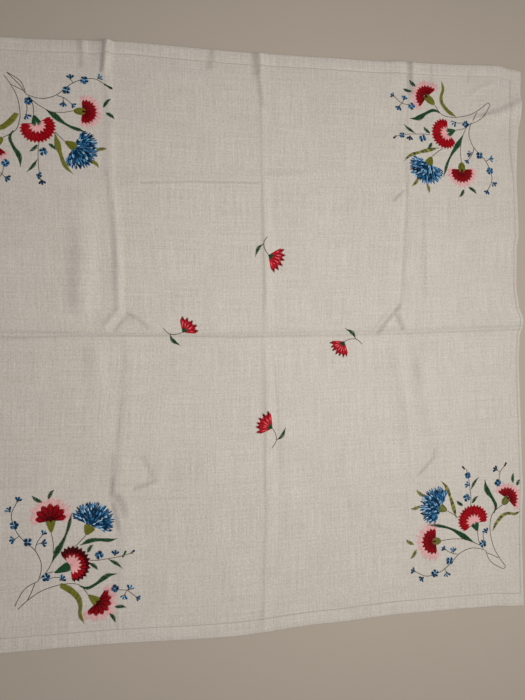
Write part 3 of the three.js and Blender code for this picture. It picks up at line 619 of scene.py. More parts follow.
def ridge(fold, place):
    """One fold's height: the largest over its stretches of the rise there times the bell
    (1 - (distance / reach) squared) squared, with a reach of its own on either side."""
    height = np.zeros(place.shape)
    for (x0, y0, low), (x1, y1, high) in zip(fold["at"], fold["at"][1:]):
        along = complex(x1 - x0, y1 - y0)
        offset = (place - complex(x0, y0)) / along
        share = np.clip(offset.real, 0, 1)
        away = np.abs(offset - share) * abs(along)
        reach = np.where(offset.imag > 0, fold["left"], fold["right"])
        bell = np.clip(1 - (away / reach) ** 2, 0, None) ** 2
        here = bell * (low + (high - low) * share)
        height = np.where(np.abs(here) > np.abs(height), here, height)
    return height


def pleat_fold(x, length):
    """A pleat as a fold that starts under the hem and runs straight down until it is spent."""
    rise = PLEAT["rise"]
    at = ((x, HALF + PLEAT["rooted"], rise), (x, HALF - length / 2, rise), (x, HALF - length, 0))
    return {"left": PLEAT["width"], "right": PLEAT["width"], "at": at}


MAIN_FOLDS = [*FOLDS, *(pleat_fold(x, length) for x, length in PLEATS)]


def pressed_fold(line):
    """A pressed line as a narrow fold that is as high all along."""
    at = [(point.real, point.imag, line["rise"]) for point in line["through"]]
    return {"left": line["reach"], "right": line["reach"], "at": at}


PRESSED_FOLDS = [pressed_fold(line) for line in PRESSED_LINES]


def soft_noise(place, spacing, seed):
    """Gentle random heights from 0 to 1: random values on a square net, eased between knots."""
    knots = np.random.default_rng(seed).random((KNOTS, KNOTS))
    u = place.real / spacing + KNOTS / 2
    v = place.imag / spacing + KNOTS / 2
    i = np.floor(u).astype(int)
    j = np.floor(v).astype(int)
    s = u - i
    t = v - j
    s = s * s * (3 - 2 * s)
    t = t * t * (3 - 2 * t)
    low = knots[i, j] * (1 - s) + knots[i + 1, j] * s
    high = knots[i, j + 1] * (1 - s) + knots[i + 1, j + 1] * s
    return low * (1 - t) + high * t


def puckers(place):
    """Small heights where close stitches draw the linen in: a fine soft noise under a bell round
    the middle of each spray."""
    height = np.zeros(place.shape)
    for copy in SPRAY_COPIES:
        middle = SPRAY_MIDDLE * 1j ** copy["quarters"] + copy["shift"]
        bell = np.clip(1 - (np.abs(place - middle) / PUCKERS["reach"]) ** 2, 0, None)
        height += bell * copy["puckers"]
    return height * PUCKERS["height"] * soft_noise(place, PUCKERS["spacing"], PUCKERS["seed"])


def lift(place):
    """How high the cloth's underside stands: the root of the sum of the main folds' squares, the
    narrower folds and pressed lines on it, the unevenness of washed linen and the puckers."""
    main = np.sqrt(sum(ridge(fold, place) ** 2 for fold in MAIN_FOLDS))
    crisp = sum(ridge(crease, place) for crease in (*CRISP_CREASES, *PRESSED_FOLDS))
    soft = sum(u["height"] * soft_noise(place, u["spacing"], u["seed"]) for u in UNEVENNESS)
    return np.clip(main + crisp + soft + puckers(place) + LEAST_LIFT, 0, None)


def pressed_amount(place):
    """How far the linen is pressed in, from 0 to 1: the sum of the depths of the pressed lines."""
    return np.clip(sum(-ridge(fold, place).clip(None, 0) for fold in PRESSED_FOLDS), 0, 1)


def face_height(place):
    """How high the cloth's face stands inside the hem."""
    return lift(place) + THICKNESS


def net_lines(wanted, widest):
    """Sorted places with more put evenly between them wherever the gap is too wide."""
    places = sorted(set(wanted))
    lines = []
    for place, following in zip(places, places[1:]):
        parts = max(1, math.ceil((following - place) / widest))
        lines.extend(place + (following - place) * k / parts for k in range(parts))
    return np.array([*lines, places[-1]])


def mirrored(*offsets):
    """Each offset on both sides of zero."""
    return [sign * offset for offset in offsets for sign in (-1, 1)]


# The lines of the sheet's net: the hem's rim, its rounded edge, its step down and the drawn band,
# and lines across the folds as close as each of them needs
HEM_LINES = mirrored(HALF, HALF - 0.8, INNER_HEM + 2.2, INNER_HEM + 1, INNER_HEM,
                     INNER_HEM - DRAWN_BAND)
NET_GAP = 6.0  # the widest gap
FINE_GAP = 2.3  # the gap across most folds
COLUMNS = net_lines([
    *HEM_LINES, *mirrored(0, 1.5, 3.2, 5.5, 8.5), 11, 13.5, 16, 18, 20, 22, 24.5, 28, 33,
    *np.arange(-280, -230, 4), *np.arange(-230, -182, FINE_GAP), -177, -170, -163,
    *np.arange(170, 262, FINE_GAP), 266, 272], NET_GAP)
ROWS = net_lines([
    *HEM_LINES, -9, *np.arange(-7, 1, 1.2), 1.6, 3.2, 5.5, *np.arange(9, 46, FINE_GAP),
    *np.arange(198, 220, FINE_GAP), *np.arange(220, 230, 1.4), *np.arange(230, 248, FINE_GAP),
    *np.arange(-240, -172, FINE_GAP), *np.arange(334, 400, 3)], NET_GAP)


def crossing_mm():
    """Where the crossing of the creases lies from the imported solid's origin: the middle of the
    solid's box less the middle of the outline that the tables give."""
    low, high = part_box("cloth")
    return complex((low.x + high.x) / (2 * MM) - OUTLINE_MIDDLE[0],
                   (low.y + high.y) / (2 * MM) - OUTLINE_MIDDLE[1])


CROSSING = crossing_mm()


def in_space(place, height):
    """Places on the cloth and heights over it, as points in metres from the solid's origin."""
    moved = place + CROSSING
    return np.stack([moved.real, moved.imag, height + np.zeros(place.shape)], axis=-1) * MM


def add_piece(name, points, faces, material, slot, uv=None, values=None, sharp=None):
    """Makes a mesh object whose place is in its mesh, shades it smooth, and lets it ride. uv is a
    map's name and two numbers a point, values an attribute's name and one number a point."""
    mesh = bpy.data.meshes.new(name)
    mesh.from_pydata(points.reshape(-1, 3).tolist(), [], faces)
    mesh.polygons.foreach_set("use_smooth", np.ones(len(mesh.polygons), bool))
    corner_points = np.empty(len(mesh.loops), np.int32)
    mesh.loops.foreach_get("vertex_index", corner_points)
    if uv:
        layer = mesh.uv_layers.new(name=uv[0])
        layer.data.foreach_set("uv", uv[1].reshape(-1, 2)[corner_points].ravel())
    if values:
        attribute = mesh.attributes.new(values[0], "FLOAT", "POINT")
        attribute.data.foreach_set("value", values[1].astype(np.float32).ravel())
    if sharp:
        mesh.set_sharp_from_angle(angle=sharp)
    mesh.materials.append(material)
    mesh.update()
    piece = bpy.data.objects.new(name, mesh)
    bpy.context.scene.collection.objects.link(piece)
    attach(piece, "root")
    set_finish(piece, slot)
    return piece


def sheet_layers(x, y):
    """Points of the sheet's face, of half way down and of its back, over nominal places. The hem
    is thicker, and half way down its rim stands out, so that the hem's fold is round."""
    place = on_cloth(x, y)
    inside = HALF - np.maximum(np.abs(x), np.abs(y))
    step = np.clip((inside - (HEM["width"] - HEM["step"])) / HEM["step"], 0, 1)
    extra = HEM["extra"] * (1 - step * step * (3 - 2 * step))
    rim = inside < WELD
    back = lift(place)
    face = back + THICKNESS + extra - np.where(rim, RIM["drop"], 0)
    outward = np.where(rim, RIM["bulge"], 0) * (np.sign(x) * (np.abs(x) > HALF - WELD)
                                                + 1j * np.sign(y) * (np.abs(y) > HALF - WELD))
    layers = [(place, face), (place + outward, (face + back) / 2), (place, back)]
    return np.stack([in_space(p, h) for p, h in layers])


def woven_cells():
    """Which cells of the net are woven: all but those of the drawn band, which isn't drawn on the
    right where the hem is out of sight."""
    x = ((COLUMNS[1:] + COLUMNS[:-1]) / 2)[None, :]
    y = ((ROWS[1:] + ROWS[:-1]) / 2)[:, None]
    reach = np.maximum(np.abs(x), np.abs(y))
    undrawn = (x > INNER_HEM - DRAWN_BAND) & (y < STITCHED_FROM) & (y > DRAWN_BAND - INNER_HEM)
    return (reach > INNER_HEM) | (reach < INNER_HEM - DRAWN_BAND) | undrawn


def shell_faces(kept, number):
    """Faces over a net's kept cells, from the numbers of the points in its three layers: cells of
    the first and the last, and walls between all three wherever a kept cell has no neighbour."""
    corners = np.stack([number[:, :-1, :-1], number[:, :-1, 1:], number[:, 1:, 1:],
                        number[:, 1:, :-1]], axis=-1)
    faces = [corners[0][kept], corners[2][kept][:, ::-1]]
    around = np.pad(kept, 1)
    neighbours = (around[:-2, 1:-1], around[1:-1, 2:], around[2:, 1:-1], around[1:-1, :-2])
    for side, neighbour in enumerate(neighbours):
        open_side = kept & ~neighbour
        first, second = side, (side + 1) % 4
        for upper, lower in ((0, 1), (1, 2)):
            faces.append(np.stack([
                corners[upper][open_side][:, second], corners[upper][open_side][:, first],
                corners[lower][open_side][:, first], corners[lower][open_side][:, second],
            ], axis=-1))
    return np.concatenate(faces)


def sheet_mesh():
    """The sheet as a closed shell. Gives its points, its faces, the weave's own coordinates and
    how strongly each point is pressed."""
    x, y = np.meshgrid(COLUMNS, ROWS)
    points = sheet_layers(x, y)
    number = np.arange(points[..., 0].size).reshape(points.shape[:3])
    used, faces = np.unique(shell_faces(woven_cells(), number), return_inverse=True)
    weave = np.broadcast_to(np.stack([x, y], axis=-1), (3, *x.shape, 2)).reshape(-1, 2)
    pressed = np.broadcast_to(pressed_amount(on_cloth(x, y)), (3, *x.shape)).ravel()
    return points.reshape(-1, 3)[used], faces.reshape(-1, 4), weave[used], pressed[used]


# Stitches


def stitches(start, end, width=STRAND, to_width=None, bow=0.0, rise=RISE, tone=0.5):
    """A table of stitches, each a strand from start to end with its widths, its bow to the left,
    its rise and its tone from dark to light, from arrays or single values."""
    to_width = width if to_width is None else to_width
    columns = np.broadcast_arrays(start, end, bow, width, to_width, rise, tone)
    table = np.zeros(columns[0].size, STITCH)
    for name, column in zip(STITCH.names, columns):
        table[name] = np.ravel(column)
    return table


def moved(table, foot, angle):
    """A table of stitches turned by an angle in degrees and carried from the origin to a foot."""
    table = table.copy()
    turn = np.exp(1j * math.radians(angle))
    for end in ("start", "end"):
        table[end] = foot + table[end] * turn
    return table


def copied(table, copy, middle):
    """A table of stitches as a copy of the drawing has them: quarter turns about the crossing, a
    small turn about the drawing's middle, and a shift."""
    quarter = 1j ** copy["quarters"]
    turn = np.exp(1j * math.radians(copy["turn"]))
    table = table.copy()
    for end in ("start", "end"):
        table[end] = middle * quarter + copy["shift"] + turn * (table[end] - middle) * quarter
    return table


def tubes(paths, heights, widths, crowns, dive):
    """Closed strands as one mesh. Each follows its path, a row of ring middles between its two
    ends, and a ring is the strand's section scaled to its width and its crown over the height of
    the cloth. Gives points, faces and map coordinates in millimetres along and across."""
    count, rings = paths.shape[0], paths.shape[1] - 2
    along = np.gradient(paths, axis=1)
    side = 1j * along / np.maximum(np.abs(along), 1e-9)
    across, up = np.array(SECTION).T
    place = paths[:, 1:-1, None] + (side * widths)[:, 1:-1, None] * across
    height = heights[:, 1:-1, None] + crowns[:, 1:-1, None] * up
    rings_points = in_space(place, height).reshape(count, -1, 3)
    ends = in_space(paths[:, [0, -1]], heights[:, [0, -1]] - dive)
    points = np.concatenate([ends[:, :1], rings_points, ends[:, 1:]], axis=1)
    sides = len(SECTION)
    faces = []
    for k in range(sides):
        following = (k + 1) % sides
        faces.append([0, 1 + k, 1 + following])
        last = 1 + (rings - 1) * sides
        faces.append([last + k, 1 + rings * sides, last + following])
        for ring in range(rings - 1):
            low, high = 1 + ring * sides, 1 + (ring + 1) * sides
            faces.append([low + k, high + k, high + following, low + following])
    size = points.shape[1]
    starts = np.arange(count) * size
    all_faces = []
    for face in faces:
        all_faces.extend((starts[:, None] + np.array(face)).tolist())
    travelled = np.abs(np.diff(paths, axis=1)).cumsum(axis=1)
    travelled = np.concatenate([np.zeros((count, 1)), travelled], axis=1)
    ring_u = np.repeat(travelled[:, 1:-1], sides, axis=1)
    ring_v = (widths[:, 1:-1, None] * across).reshape(count, -1)
    u = np.concatenate([travelled[:, :1], ring_u, travelled[:, -1:]], axis=1)
    v = np.concatenate([np.zeros((count, 1)), ring_v, np.zeros((count, 1))], axis=1)
    return points.reshape(-1, 3), all_faces, np.stack([u, v], axis=-1).reshape(-1, 2)


def stitch_rings(table, rings):
    """Stitches of one kind of length as a mesh: ring middles on the line from start to end, bowed
    by four times the bow times share times what is left, over the cloth's face."""
    rings = np.array(rings)
    share = np.concatenate([[0], rings[:, 0], [1]])
    wide = np.concatenate([[0], rings[:, 1], [0]])
    high = np.concatenate([[0], rings[:, 2], [0]])
    run = (table["end"] - table["start"])[:, None]
    side = 1j * run / np.maximum(np.abs(run), 1e-9)
    paths = table["start"][:, None] + run * share
    paths = paths + side * table["bow"][:, None] * (4 * share * (1 - share))
    widths = wide * (table["width"][:, None] * (1 - share) + table["to_width"][:, None] * share)
    crowns = high * table["rise"][:, None]
    points, faces, uv = tubes(paths, face_height(paths), widths, crowns, DIVE)
    tones = np.repeat(table["tone"], len(points) // len(table))
    return points, faces, uv, tones


def stitch_piece(name, tables, material):
    """One piece of all the stitches worked in one floss for one purpose."""
    table = np.concatenate(tables)
    length = np.abs(table["end"] - table["start"])
    points, faces, uv, tones = [], [], [], []
    offset = 0
    for chosen, rings in ((length > LONG_STITCH, LONG_RINGS), (length <= LONG_STITCH, RINGS)):
        if not chosen.any():
            continue
        part = stitch_rings(table[chosen], rings)
        points.append(part[0])
        faces.extend([corner + offset for corner in face] for face in part[1])
        uv.append(part[2])
        tones.append(part[3])
        offset += len(part[0])
    return add_piece(name, np.concatenate(points), faces, material, "cotton_floss",
                     uv=("thread", np.concatenate(uv)), values=("tone", np.concatenate(tones)))


# Motifs. Each works out its stitches from the origin, looking along +x.


def teeth_wave(angle, spread, teeth):
    """How far out the edge of a fan is between notch (0) and tip (1): a pointed wave with as many
    tips as teeth from one side of the fan to the other."""
    phase = (angle / spread + 1) / 2 * teeth
    return 1 - np.abs(2 * (phase - np.floor(phase)) - 1)


def spread_angles(rng, spread, count, jitter=0.25):
    """Angles side by side over a fan, from its right to its left, a little uneven."""
    step = 2 * spread / count
    return -spread + step * (np.arange(count) + 0.5 + rng.uniform(-jitter, jitter, count))


def radial(middle, angle, inner, outer, width, to_width, rise=RISE, tone=0.5):
    """Straight stitches out from a middle, each at its angle in radians from inner to outer."""
    ray = np.exp(1j * angle)
    return stitches(middle + inner * ray, middle + outer * ray, width, to_width, 0.0, rise, tone)


def tones(rng, count, middle=0.5, swing=0.3):
    """A tone for each stitch, about a middle."""
    return np.clip(middle + rng.uniform(-swing, swing, count), 0, 1)


def smooth_line(through):
    """A smooth line through given points: on every stretch the cubic that leaves each point along
    the line between its neighbours. Gives its points and how far along each of them is."""
    knots = np.array([2 * through[0] - through[1], *through, 2 * through[-1] - through[-2]])
    t = np.linspace(0, 1, 16, endpoint=False)[:, None]
    before, first, second, after = (knots[k:len(knots) - 3 + k] for k in range(4))
    line = 0.5 * (2 * first + (second - before) * t
                  + (2 * before - 5 * first + 4 * second - after) * t ** 2
                  + (3 * first - before - 3 * second + after) * t ** 3)
    line = np.append(line.T.ravel(), through[-1])
    return line, np.append(0, np.abs(np.diff(line)).cumsum())


def along(line, run, distance):
    """Places and directions on a line at distances along it."""
    distance = np.clip(distance, 0, run[-1])
    place = np.interp(distance, run, line.real) + 1j * np.interp(distance, run, line.imag)
    heading = np.gradient(line)
    heading = (np.interp(distance, run, heading.real)
               + 1j * np.interp(distance, run, heading.imag))
    return place, heading / np.abs(heading)


def satin_leaf(rng, through, widths, shade=0.2):
    """A leaf of slanting satin stitches from edge to edge. Its middle is a smooth line through
    points, and its half width is eased from one of its widths to the next. Each stitch's right
    end is further along than its left one by the leaf's half width there. Its tone swings by
    the shade times two sines along the leaf."""
    line, run = smooth_line(through)
    length = run[-1]
    count = max(6, int(length / SATIN["pitch"]))
    distance = (np.arange(count) + 0.5) * length / count
    half = eased(widths, distance / length) / 2
    ends = []
    for side in (1, -1):
        here = np.clip(distance - side * half * SATIN["slant"], 0.1, length - 0.1)
        place, heading = along(line, run, here)
        reach = eased(widths, here / length) / 2 + rng.normal(0, SATIN["uneven"], count)
        ends.append(place + side * 1j * heading * reach)
    quick, slow = (np.sin(distance / wave + rng.uniform(0, 6)) for wave in SATIN["waves"])
    tone = 0.5 + shade * quick * slow + rng.uniform(-0.2, 0.2, count)
    return stitches(*ends, SATIN["overlap"] * length / count, tone=np.clip(tone, 0, 1))


def green_cup(rng, length, foot_width, mouth_width, notch, bulge, tone=0.5):
    """A flower's cup in upright satin: stitches fan from its narrow foot to its mouth, shorter in
    the middle by the notch, so that its two lobes clasp the petals, and the outer ones bow
    outwards by the bulge."""
    count = max(8, int((mouth_width + bulge) / CUP["pitch"]))
    u = (np.arange(count) + 0.5) / count * 2 - 1
    start = 1j * u * foot_width / 2 + rng.uniform(-0.3, 0.3, count)
    lobe = 1 - (2 * np.abs(u) - 1) ** 2 * np.where(np.abs(u) < 0.5, notch, CUP["shoulder"])
    reach = length * lobe
    flare = 1 - CUP["flare"] + CUP["flare"] * reach / length
    end = reach + 1j * u * mouth_width / 2 * flare
    return stitches(start, end, (foot_width / count) * CUP["overlap"] + 0.3,
                    (mouth_width + bulge) / count * CUP["overlap"], bow=u * bulge,
                    tone=tones(rng, count, tone), rise=CUP["rise"])


def fringed_carnation(rng, flower, teeth):
    """A carnation seen from the side, in long and short stitches over a fan: crimson petals with
    pointed edges, darker where they part, a throat almost black, and round them a close pale
    fringe and a loose one. The fan's reach falls off with the cube of the angle, and its edge is
    cut the deeper the fewer its petals are. Few petals are round ones: their edge is a root of
    the pointed wave."""
    spread = math.radians(flower["spread"])
    radius = flower["radius"]
    around = 2 * spread * radius
    middle = flower["mouth"] + 0j
    depth = 0.08 + 1.1 / teeth
    roundness, parting = (0.6, 0.85) if teeth < FEW_PETALS else (1.0, 0.55)

    def wave_at(angle):
        return teeth_wave(angle, spread, teeth) ** roundness

    def edge(angle):
        side = 1 - flower["sides"] * np.abs(angle / spread) ** 3
        return radius * side * (1 - depth * (1 - wave_at(angle)))

    def row(kind):
        count = int(around * kind["at"] / kind["pitch"])
        outer = kind["outer"] or flower["throat"]
        ragged = kind["ragged"]
        angle = spread_angles(rng, spread * kind["fan"], count)
        tone = np.clip(1 - parting * (1 - wave_at(angle)) - kind["dark"]
                       + rng.uniform(-0.15, 0.15, count), 0, 1)
        start = edge(angle) * (kind["inner"] + rng.uniform(-ragged, ragged, count))
        end = edge(angle) * (outer + (outer < 1) * rng.uniform(-ragged, ragged, count))
        return radial(middle, angle, start, end, kind["width"] * 0.8, kind["width"],
                      rise=kind["rise"], tone=tone)

    def fringe(pitch, least, most, width, rise):
        count = int(around / pitch)
        angle = spread_angles(rng, spread * 1.06, count, 0.6)
        near = edge(np.clip(angle, -spread, spread))
        reach = near + flower["fringe"] * rng.uniform(least, most, count)
        return radial(middle, angle + rng.normal(0, 0.02, count), near * 0.94, reach, width,
                      width * 0.8, rise=rise, tone=tones(rng, count, 0.55, 0.4))

    work = defaultdict(list)
    for kind in FRINGED_ROWS:
        work[kind["floss"]].append(row(kind))
    work["pink"] = [fringe(**kind) for kind in FRINGES]
    return work


def scarlet_carnation(rng, flower):
    """A carnation seen from above its cup: a pale starred heart, scarlet petals round it, and
    pointed tips, in rows of long and short stitches. The fan's reach and its heart's fall off
    with the fourth power of the angle. The tips start at the band, which may widen from the right
    to the left."""
    spread = math.radians(flower["spread"])
    radius, teeth = flower["radius"], flower["teeth"]
    middle = flower["mouth"] + 0j

    def edge(angle):
        side = 1 - flower["sides"] * np.abs(angle / spread) ** 4
        return radius * side * (1 - TEETH_CUT * (1 - teeth_wave(angle, spread, teeth)))

    def star(angle):
        side = 1 - HEART["sides"] * np.abs(angle / spread) ** 4
        notch = 1 - teeth_wave(angle, spread, HEART["points"])
        return flower["star"] * side * (1 - HEART["cut"] * notch)

    def band(angle):
        right, left = flower["band"]
        return edge(angle) * (right + (left - right) * (angle / spread + 1) / 2)

    def row(count, inner, outer, swing, rise=RISE):
        angle = spread_angles(rng, spread, count, 0.15)
        wave = teeth_wave(angle, spread, teeth)
        tone = np.clip(0.25 + swing * wave + rng.uniform(-0.25, 0.25, count), 0, 1)
        return radial(middle, angle, inner(angle) + rng.uniform(-0.5, 0.5, count),
                      outer(angle), 0.85, 1.0, rise, tone)

    around = 2 * spread * radius
    angle = spread_angles(rng, spread * 0.98, int(2 * spread * flower["star"] / 0.75))
    heart = radial(middle, angle, rng.uniform(0, 2, angle.size), star(angle) + 0.7, 0.5, 1.0,
                   rise=RISE + 0.05, tone=tones(rng, angle.size, 0.6))
    work = defaultdict(list)
    work["rose"].append(heart)
    work["scarlet"].append(row(int(around * 0.75 / SCARLET_PITCH), star,
                               lambda a: edge(a) * 0.86, 0.6, RISE + 0.1))
    work["scarlet"].append(row(int(around / SCARLET_PITCH), lambda a: edge(a) * 0.55,
                               lambda a: edge(a) * 0.97, 0.4))
    work[flower["tips"]].append(row(int(around / SCARLET_PITCH), band, edge, 0.6, RISE + 0.3))
    return work


def cornflower(rng, flower):
    """A cornflower seen from the side: a dark under layer over a kidney shaped fan, and on it
    rings of short pointed stitches in three blues, each turned a little from its ray. Those of
    the outermost ring stand apart, turn less and are darker. The fan's reach falls off with the
    fourth power of the angle."""
    spread = math.radians(flower["spread"])
    radius = flower["radius"]
    middle = flower["mouth"] + 0j

    def edge(angle):
        return radius * (1 - flower["sides"] * np.abs(angle / spread) ** 4)

    work = defaultdict(list)
    for inner, outer in UNDER_ROWS:
        count = int(2 * spread * radius * outer / UNDER_LAYER["pitch"])
        angle = spread_angles(rng, spread * 0.96, count, 0.5)
        reach = outer + rng.uniform(-0.04, 0.04, count)
        work["deep blue"].append(radial(
            middle, angle, edge(angle) * inner, edge(angle) * reach, UNDER_LAYER["width"],
            UNDER_LAYER["to_width"], UNDER_LAYER["rise"], tones(rng, count, 0.35)))
    for ring, inner in enumerate(FLORET_RINGS):
        outermost = inner == FLORET_RINGS[-1]
        turning, pale, deep = OUTERMOST_FLORETS if outermost else OTHER_FLORETS
        count = int(2 * spread * radius * (inner + 0.1) / FLORET["pitch"])
        angle = spread_angles(rng, spread * 0.98, count, 0.35)
        share = inner + rng.uniform(-0.03, 0.03, count)
        lean = rng.normal(0, turning, count)
        start = middle + edge(angle) * share * np.exp(1j * angle)
        length = radius * FLORET["length"] * rng.uniform(0.85, 1.15, count)
        table = stitches(start, start + length * np.exp(1j * (angle + lean)), FLORET["foot"],
                         FLORET["tip"], rise=RISE + 0.03 * ring,
                         tone=tones(rng, count, swing=0.5))
        chance = rng.random(count)
        work["pale blue"].append(table[chance < pale])
        work["deep blue"].append(table[(chance >= pale) & (chance < pale + deep)])
        work["mid blue"].append(table[chance >= pale + deep])
    return work


def small_flower(rng, flower):
    """A forget-me-not: four or five round petals of satin stitches, partly in a deep blue and
    partly in paler ones. A bud has up to three petals close together over a dark foot, and a
    closed one is a single petal, dark or as green as a leaf."""
    radius = flower["radius"]
    petals = flower["petals"]
    bud = petals <= BUD_PETALS
    closed_half = PETAL["leaf" if "leaf" in flower else "closed"]
    work = defaultdict(list)
    for petal in range(petals):
        count = 4 if bud else 6
        u = (np.arange(count) + 0.5) / count * 2 - 1
        if bud:
            lean = PETAL["apart"] * (petal - (petals - 1) / 2)
            half = PETAL["bud"] if petals > 1 else closed_half
            foot, tip, rounding = 0.9, 1.14, 0.22
        else:
            lean = 2 * np.pi * petal / petals
            half = 0.9 * np.pi / petals
            foot, tip, rounding = 0.5, 1, 0.2
        ray = np.exp(1j * (lean + half * u))
        reach = radius * (tip - rounding * u ** 2)
        table = stitches(foot * ray, reach * ray, 1.15, 1.5, tone=tones(rng, count, 0.45, 0.5))
        turn = rng.integers(3)
        deep = u < (-0.2, 0.25, 0.55)[turn]
        if "dark" in flower or "leaf" in flower:
            work["green" if "leaf" in flower else "deep blue"].append(table)
            continue
        work["deep blue"].append(table[deep])
        work["pale blue" if turn == 1 else "mid blue"].append(table[~deep])
    if bud:
        work["bark"].append(stitches(np.array([-1.6, -1.2 + 0.4j, -1.2 - 0.4j]),
                                     np.array([2.2, 1.8 + 1.5j, 1.8 - 1.5j]), 0.9, 0.8,
                                     rise=RISE + 0.1, tone=tones(rng, 3)))
    return work


def stem_line(rng, through):
    """Stem stitch along a smooth line through given points: stitches that each start well back
    beside the last one."""
    line, run = smooth_line(through)
    step = STEM_STITCH["step"]
    starts = np.arange(0, max(run[-1] - 0.6 * step, step), step)
    start, heading = along(line, run, starts)
    end = along(line, run, starts + STEM_STITCH["long"])[0]
    apart = STEM_STITCH["apart"] + rng.normal(0, 0.05, starts.size)
    return stitches(start - 1j * heading * apart, end + 1j * heading * apart,
                    STEM_STITCH["width"], tone=tones(rng, starts.size), rise=STEM_STITCH["rise"])


def coral_flower(rng, flower, petals, size):
    """A sprig's flower: a narrow fan of long petals from the foot of its cup, which part at their
    tips. Each is seven red stitches, the outer ones shorter, with three coral ones along its
    middle and crimson ones at its point and along its sides."""
    spread = math.radians(flower["spread"])
    radius = flower["radius"] * size
    work = defaultdict(list)
    step = 2 * spread / petals
    for petal in range(petals):
        lean = -spread + step * (petal + 0.5) + rng.normal(0, 0.02)
        reach = radius * rng.uniform(0.95, 1.03)
        u = np.linspace(-1, 1, 7)
        under = radial(0, lean + SPRIG_PETAL["half"] * step * u, SPRIG_PETAL["starts"],
                       reach * (0.93 - 0.12 * np.abs(u) ** 1.5), 0.9, 1.7, rise=0.45,
                       tone=tones(rng, 7, 0.5, 0.5))
        u = np.linspace(-1, 1, 3)
        inner = radial(0, lean + SPRIG_PETAL["middle"] * step * u,
                       reach * rng.uniform(0.3, 0.5, 3), reach * rng.uniform(0.62, 0.78, 3),
                       0.9, 1.2, rise=RISE, tone=tones(rng, 3, 0.6, 0.4))
        tip = radial(0, lean + SPRIG_PETAL["point"] * step * u, reach * 0.74,
                     reach * (1.04 - 0.06 * u ** 2), 1.6, 1.2, rise=RISE + 0.1,
                     tone=tones(rng, 3, 0.5))
        side = radial(0, lean + SPRIG_PETAL["half"] * step * np.array([-1, 1]), reach * 0.35,
                      reach * 0.86, 0.7, 0.9, rise=RISE + 0.05, tone=tones(rng, 2, 0.7))
        work["red"].append(under)
        work["coral"].append(inner)
        work["crimson"].extend([tip, side])
    return work


# Materials


THREADS = (1.75, 70)  # how wide and long an uneven thread's streak is, in thread groups
SLUBS = (1.6, 16)  # those of its thick places
CREPE_SCALE = 0.34  # the small crumple that washing leaves, in cells a millimetre. Its light and shade are painted into the linen's colour, besides a faint bump.
BLOTCH = 55.0  # how wide the linen's paler and darker places are, in millimetres
PATTERN_SHARES = {"warp": 0.5, "weft": 0.45, "slubs": 0.4, "crepe": 1.15}


def linen_material(settings):
    """Natural flax linen, plain woven and washed: matt, with a thin bloom, and streaked both ways
    by threads that are spun unevenly, which is what tells the eye that it is linen and not cotton.
    Single threads are too fine for the picture, so they are drawn in groups. The small crumple that
    washing leaves has its light and shade painted into the colour, and is also a faint bump."""
    material, tree, surface = new_material(
        "plain_woven_flax_linen", Roughness=0.92, Sheen_Weight=0.12, Sheen_Roughness=0.6,
        Specular_IOR_Level=0.2)
    weave = add_node(tree, "UVMap", uv_map="weave")
    place = weave.outputs["UV"]

    pitch = settings.thread_group / MM

    def streaks(across, wide, long):
        scale = [1 / (pitch * long), 1 / (pitch * long), 1.0]
        scale[across] = 1 / (pitch * wide)
        spot = add_node(tree, "Mapping", {"Vector": place, "Scale": scale})
        noise = add_node(tree, "TexNoise", {
            "Vector": spot.outputs["Vector"], "Scale": 1.0, "Detail": 0.6, "Roughness": 0.55})
        return noise.outputs["Fac"]

    warp = streaks(0, *THREADS)
    weft = streaks(1, *THREADS)
    slubs = streaks(0, *SLUBS)
    crepe = add_node(tree, "TexNoise", {
        "Vector": place, "Scale": CREPE_SCALE, "Detail": 2.0, "Roughness": 0.6}).outputs["Fac"]
    blotch = add_node(tree, "TexNoise", {
        "Vector": place, "Scale": 1 / BLOTCH, "Detail": 3.0, "Roughness": 0.6})
    cross = add_node(tree, "Math", {0: warp, 1: PATTERN_SHARES["warp"]},
                     operation="MULTIPLY")
    for pattern, name in ((weft, "weft"), (slubs, "slubs"), (crepe, "crepe")):
        cross = add_node(tree, "Math", {
            0: pattern, 1: PATTERN_SHARES[name], 2: cross.outputs[0]}, operation="MULTIPLY_ADD")
    # The tone between the threads' two colours carries the uneven threads and the crumple's painted
    # light and shade.
    tone = add_node(tree, "MapRange", {
        "Value": cross.outputs[0], "From Min": 0.78, "From Max": 1.72})
    threads = add_node(tree, "Mix", {"Factor": tone.outputs["Result"]},
                       data_type="RGBA")
    threads.inputs[6].default_value = colour(settings.shade_colour)
    threads.inputs[7].default_value = colour(settings.linen_colour)
    stain = add_node(tree, "MapRange", {
        "Value": blotch.outputs["Fac"], "From Min": 0.3, "From Max": 0.7, "To Min": 0.97,
        "To Max": 1.02})
    # Painted shade: the linen's colour is darkened along the pressed-in lines, to 0.78 of itself
    # where they are deepest.
    pressed = add_node(tree, "Attribute", attribute_name="pressed")
    painted_crease_shade = add_node(tree, "MapRange", {
        "Value": pressed.outputs["Fac"], "To Min": 1.0, "To Max": 0.78})
    both = add_node(tree, "Math", {
        0: stain.outputs["Result"], 1: painted_crease_shade.outputs["Result"]}, operation="MULTIPLY")
    final = add_node(tree, "VectorMath", {
        0: threads.outputs[2], "Scale": both.outputs[0]}, operation="SCALE")
    tree.links.new(final.outputs["Vector"], surface.inputs["Base Color"])
    bump = add_node(tree, "Bump", {
        "Height": cross.outputs[0], "Strength": 0.35, "Distance": 0.3 * MM})
    tree.links.new(bump.outputs["Normal"], surface.inputs["Normal"])
    return material


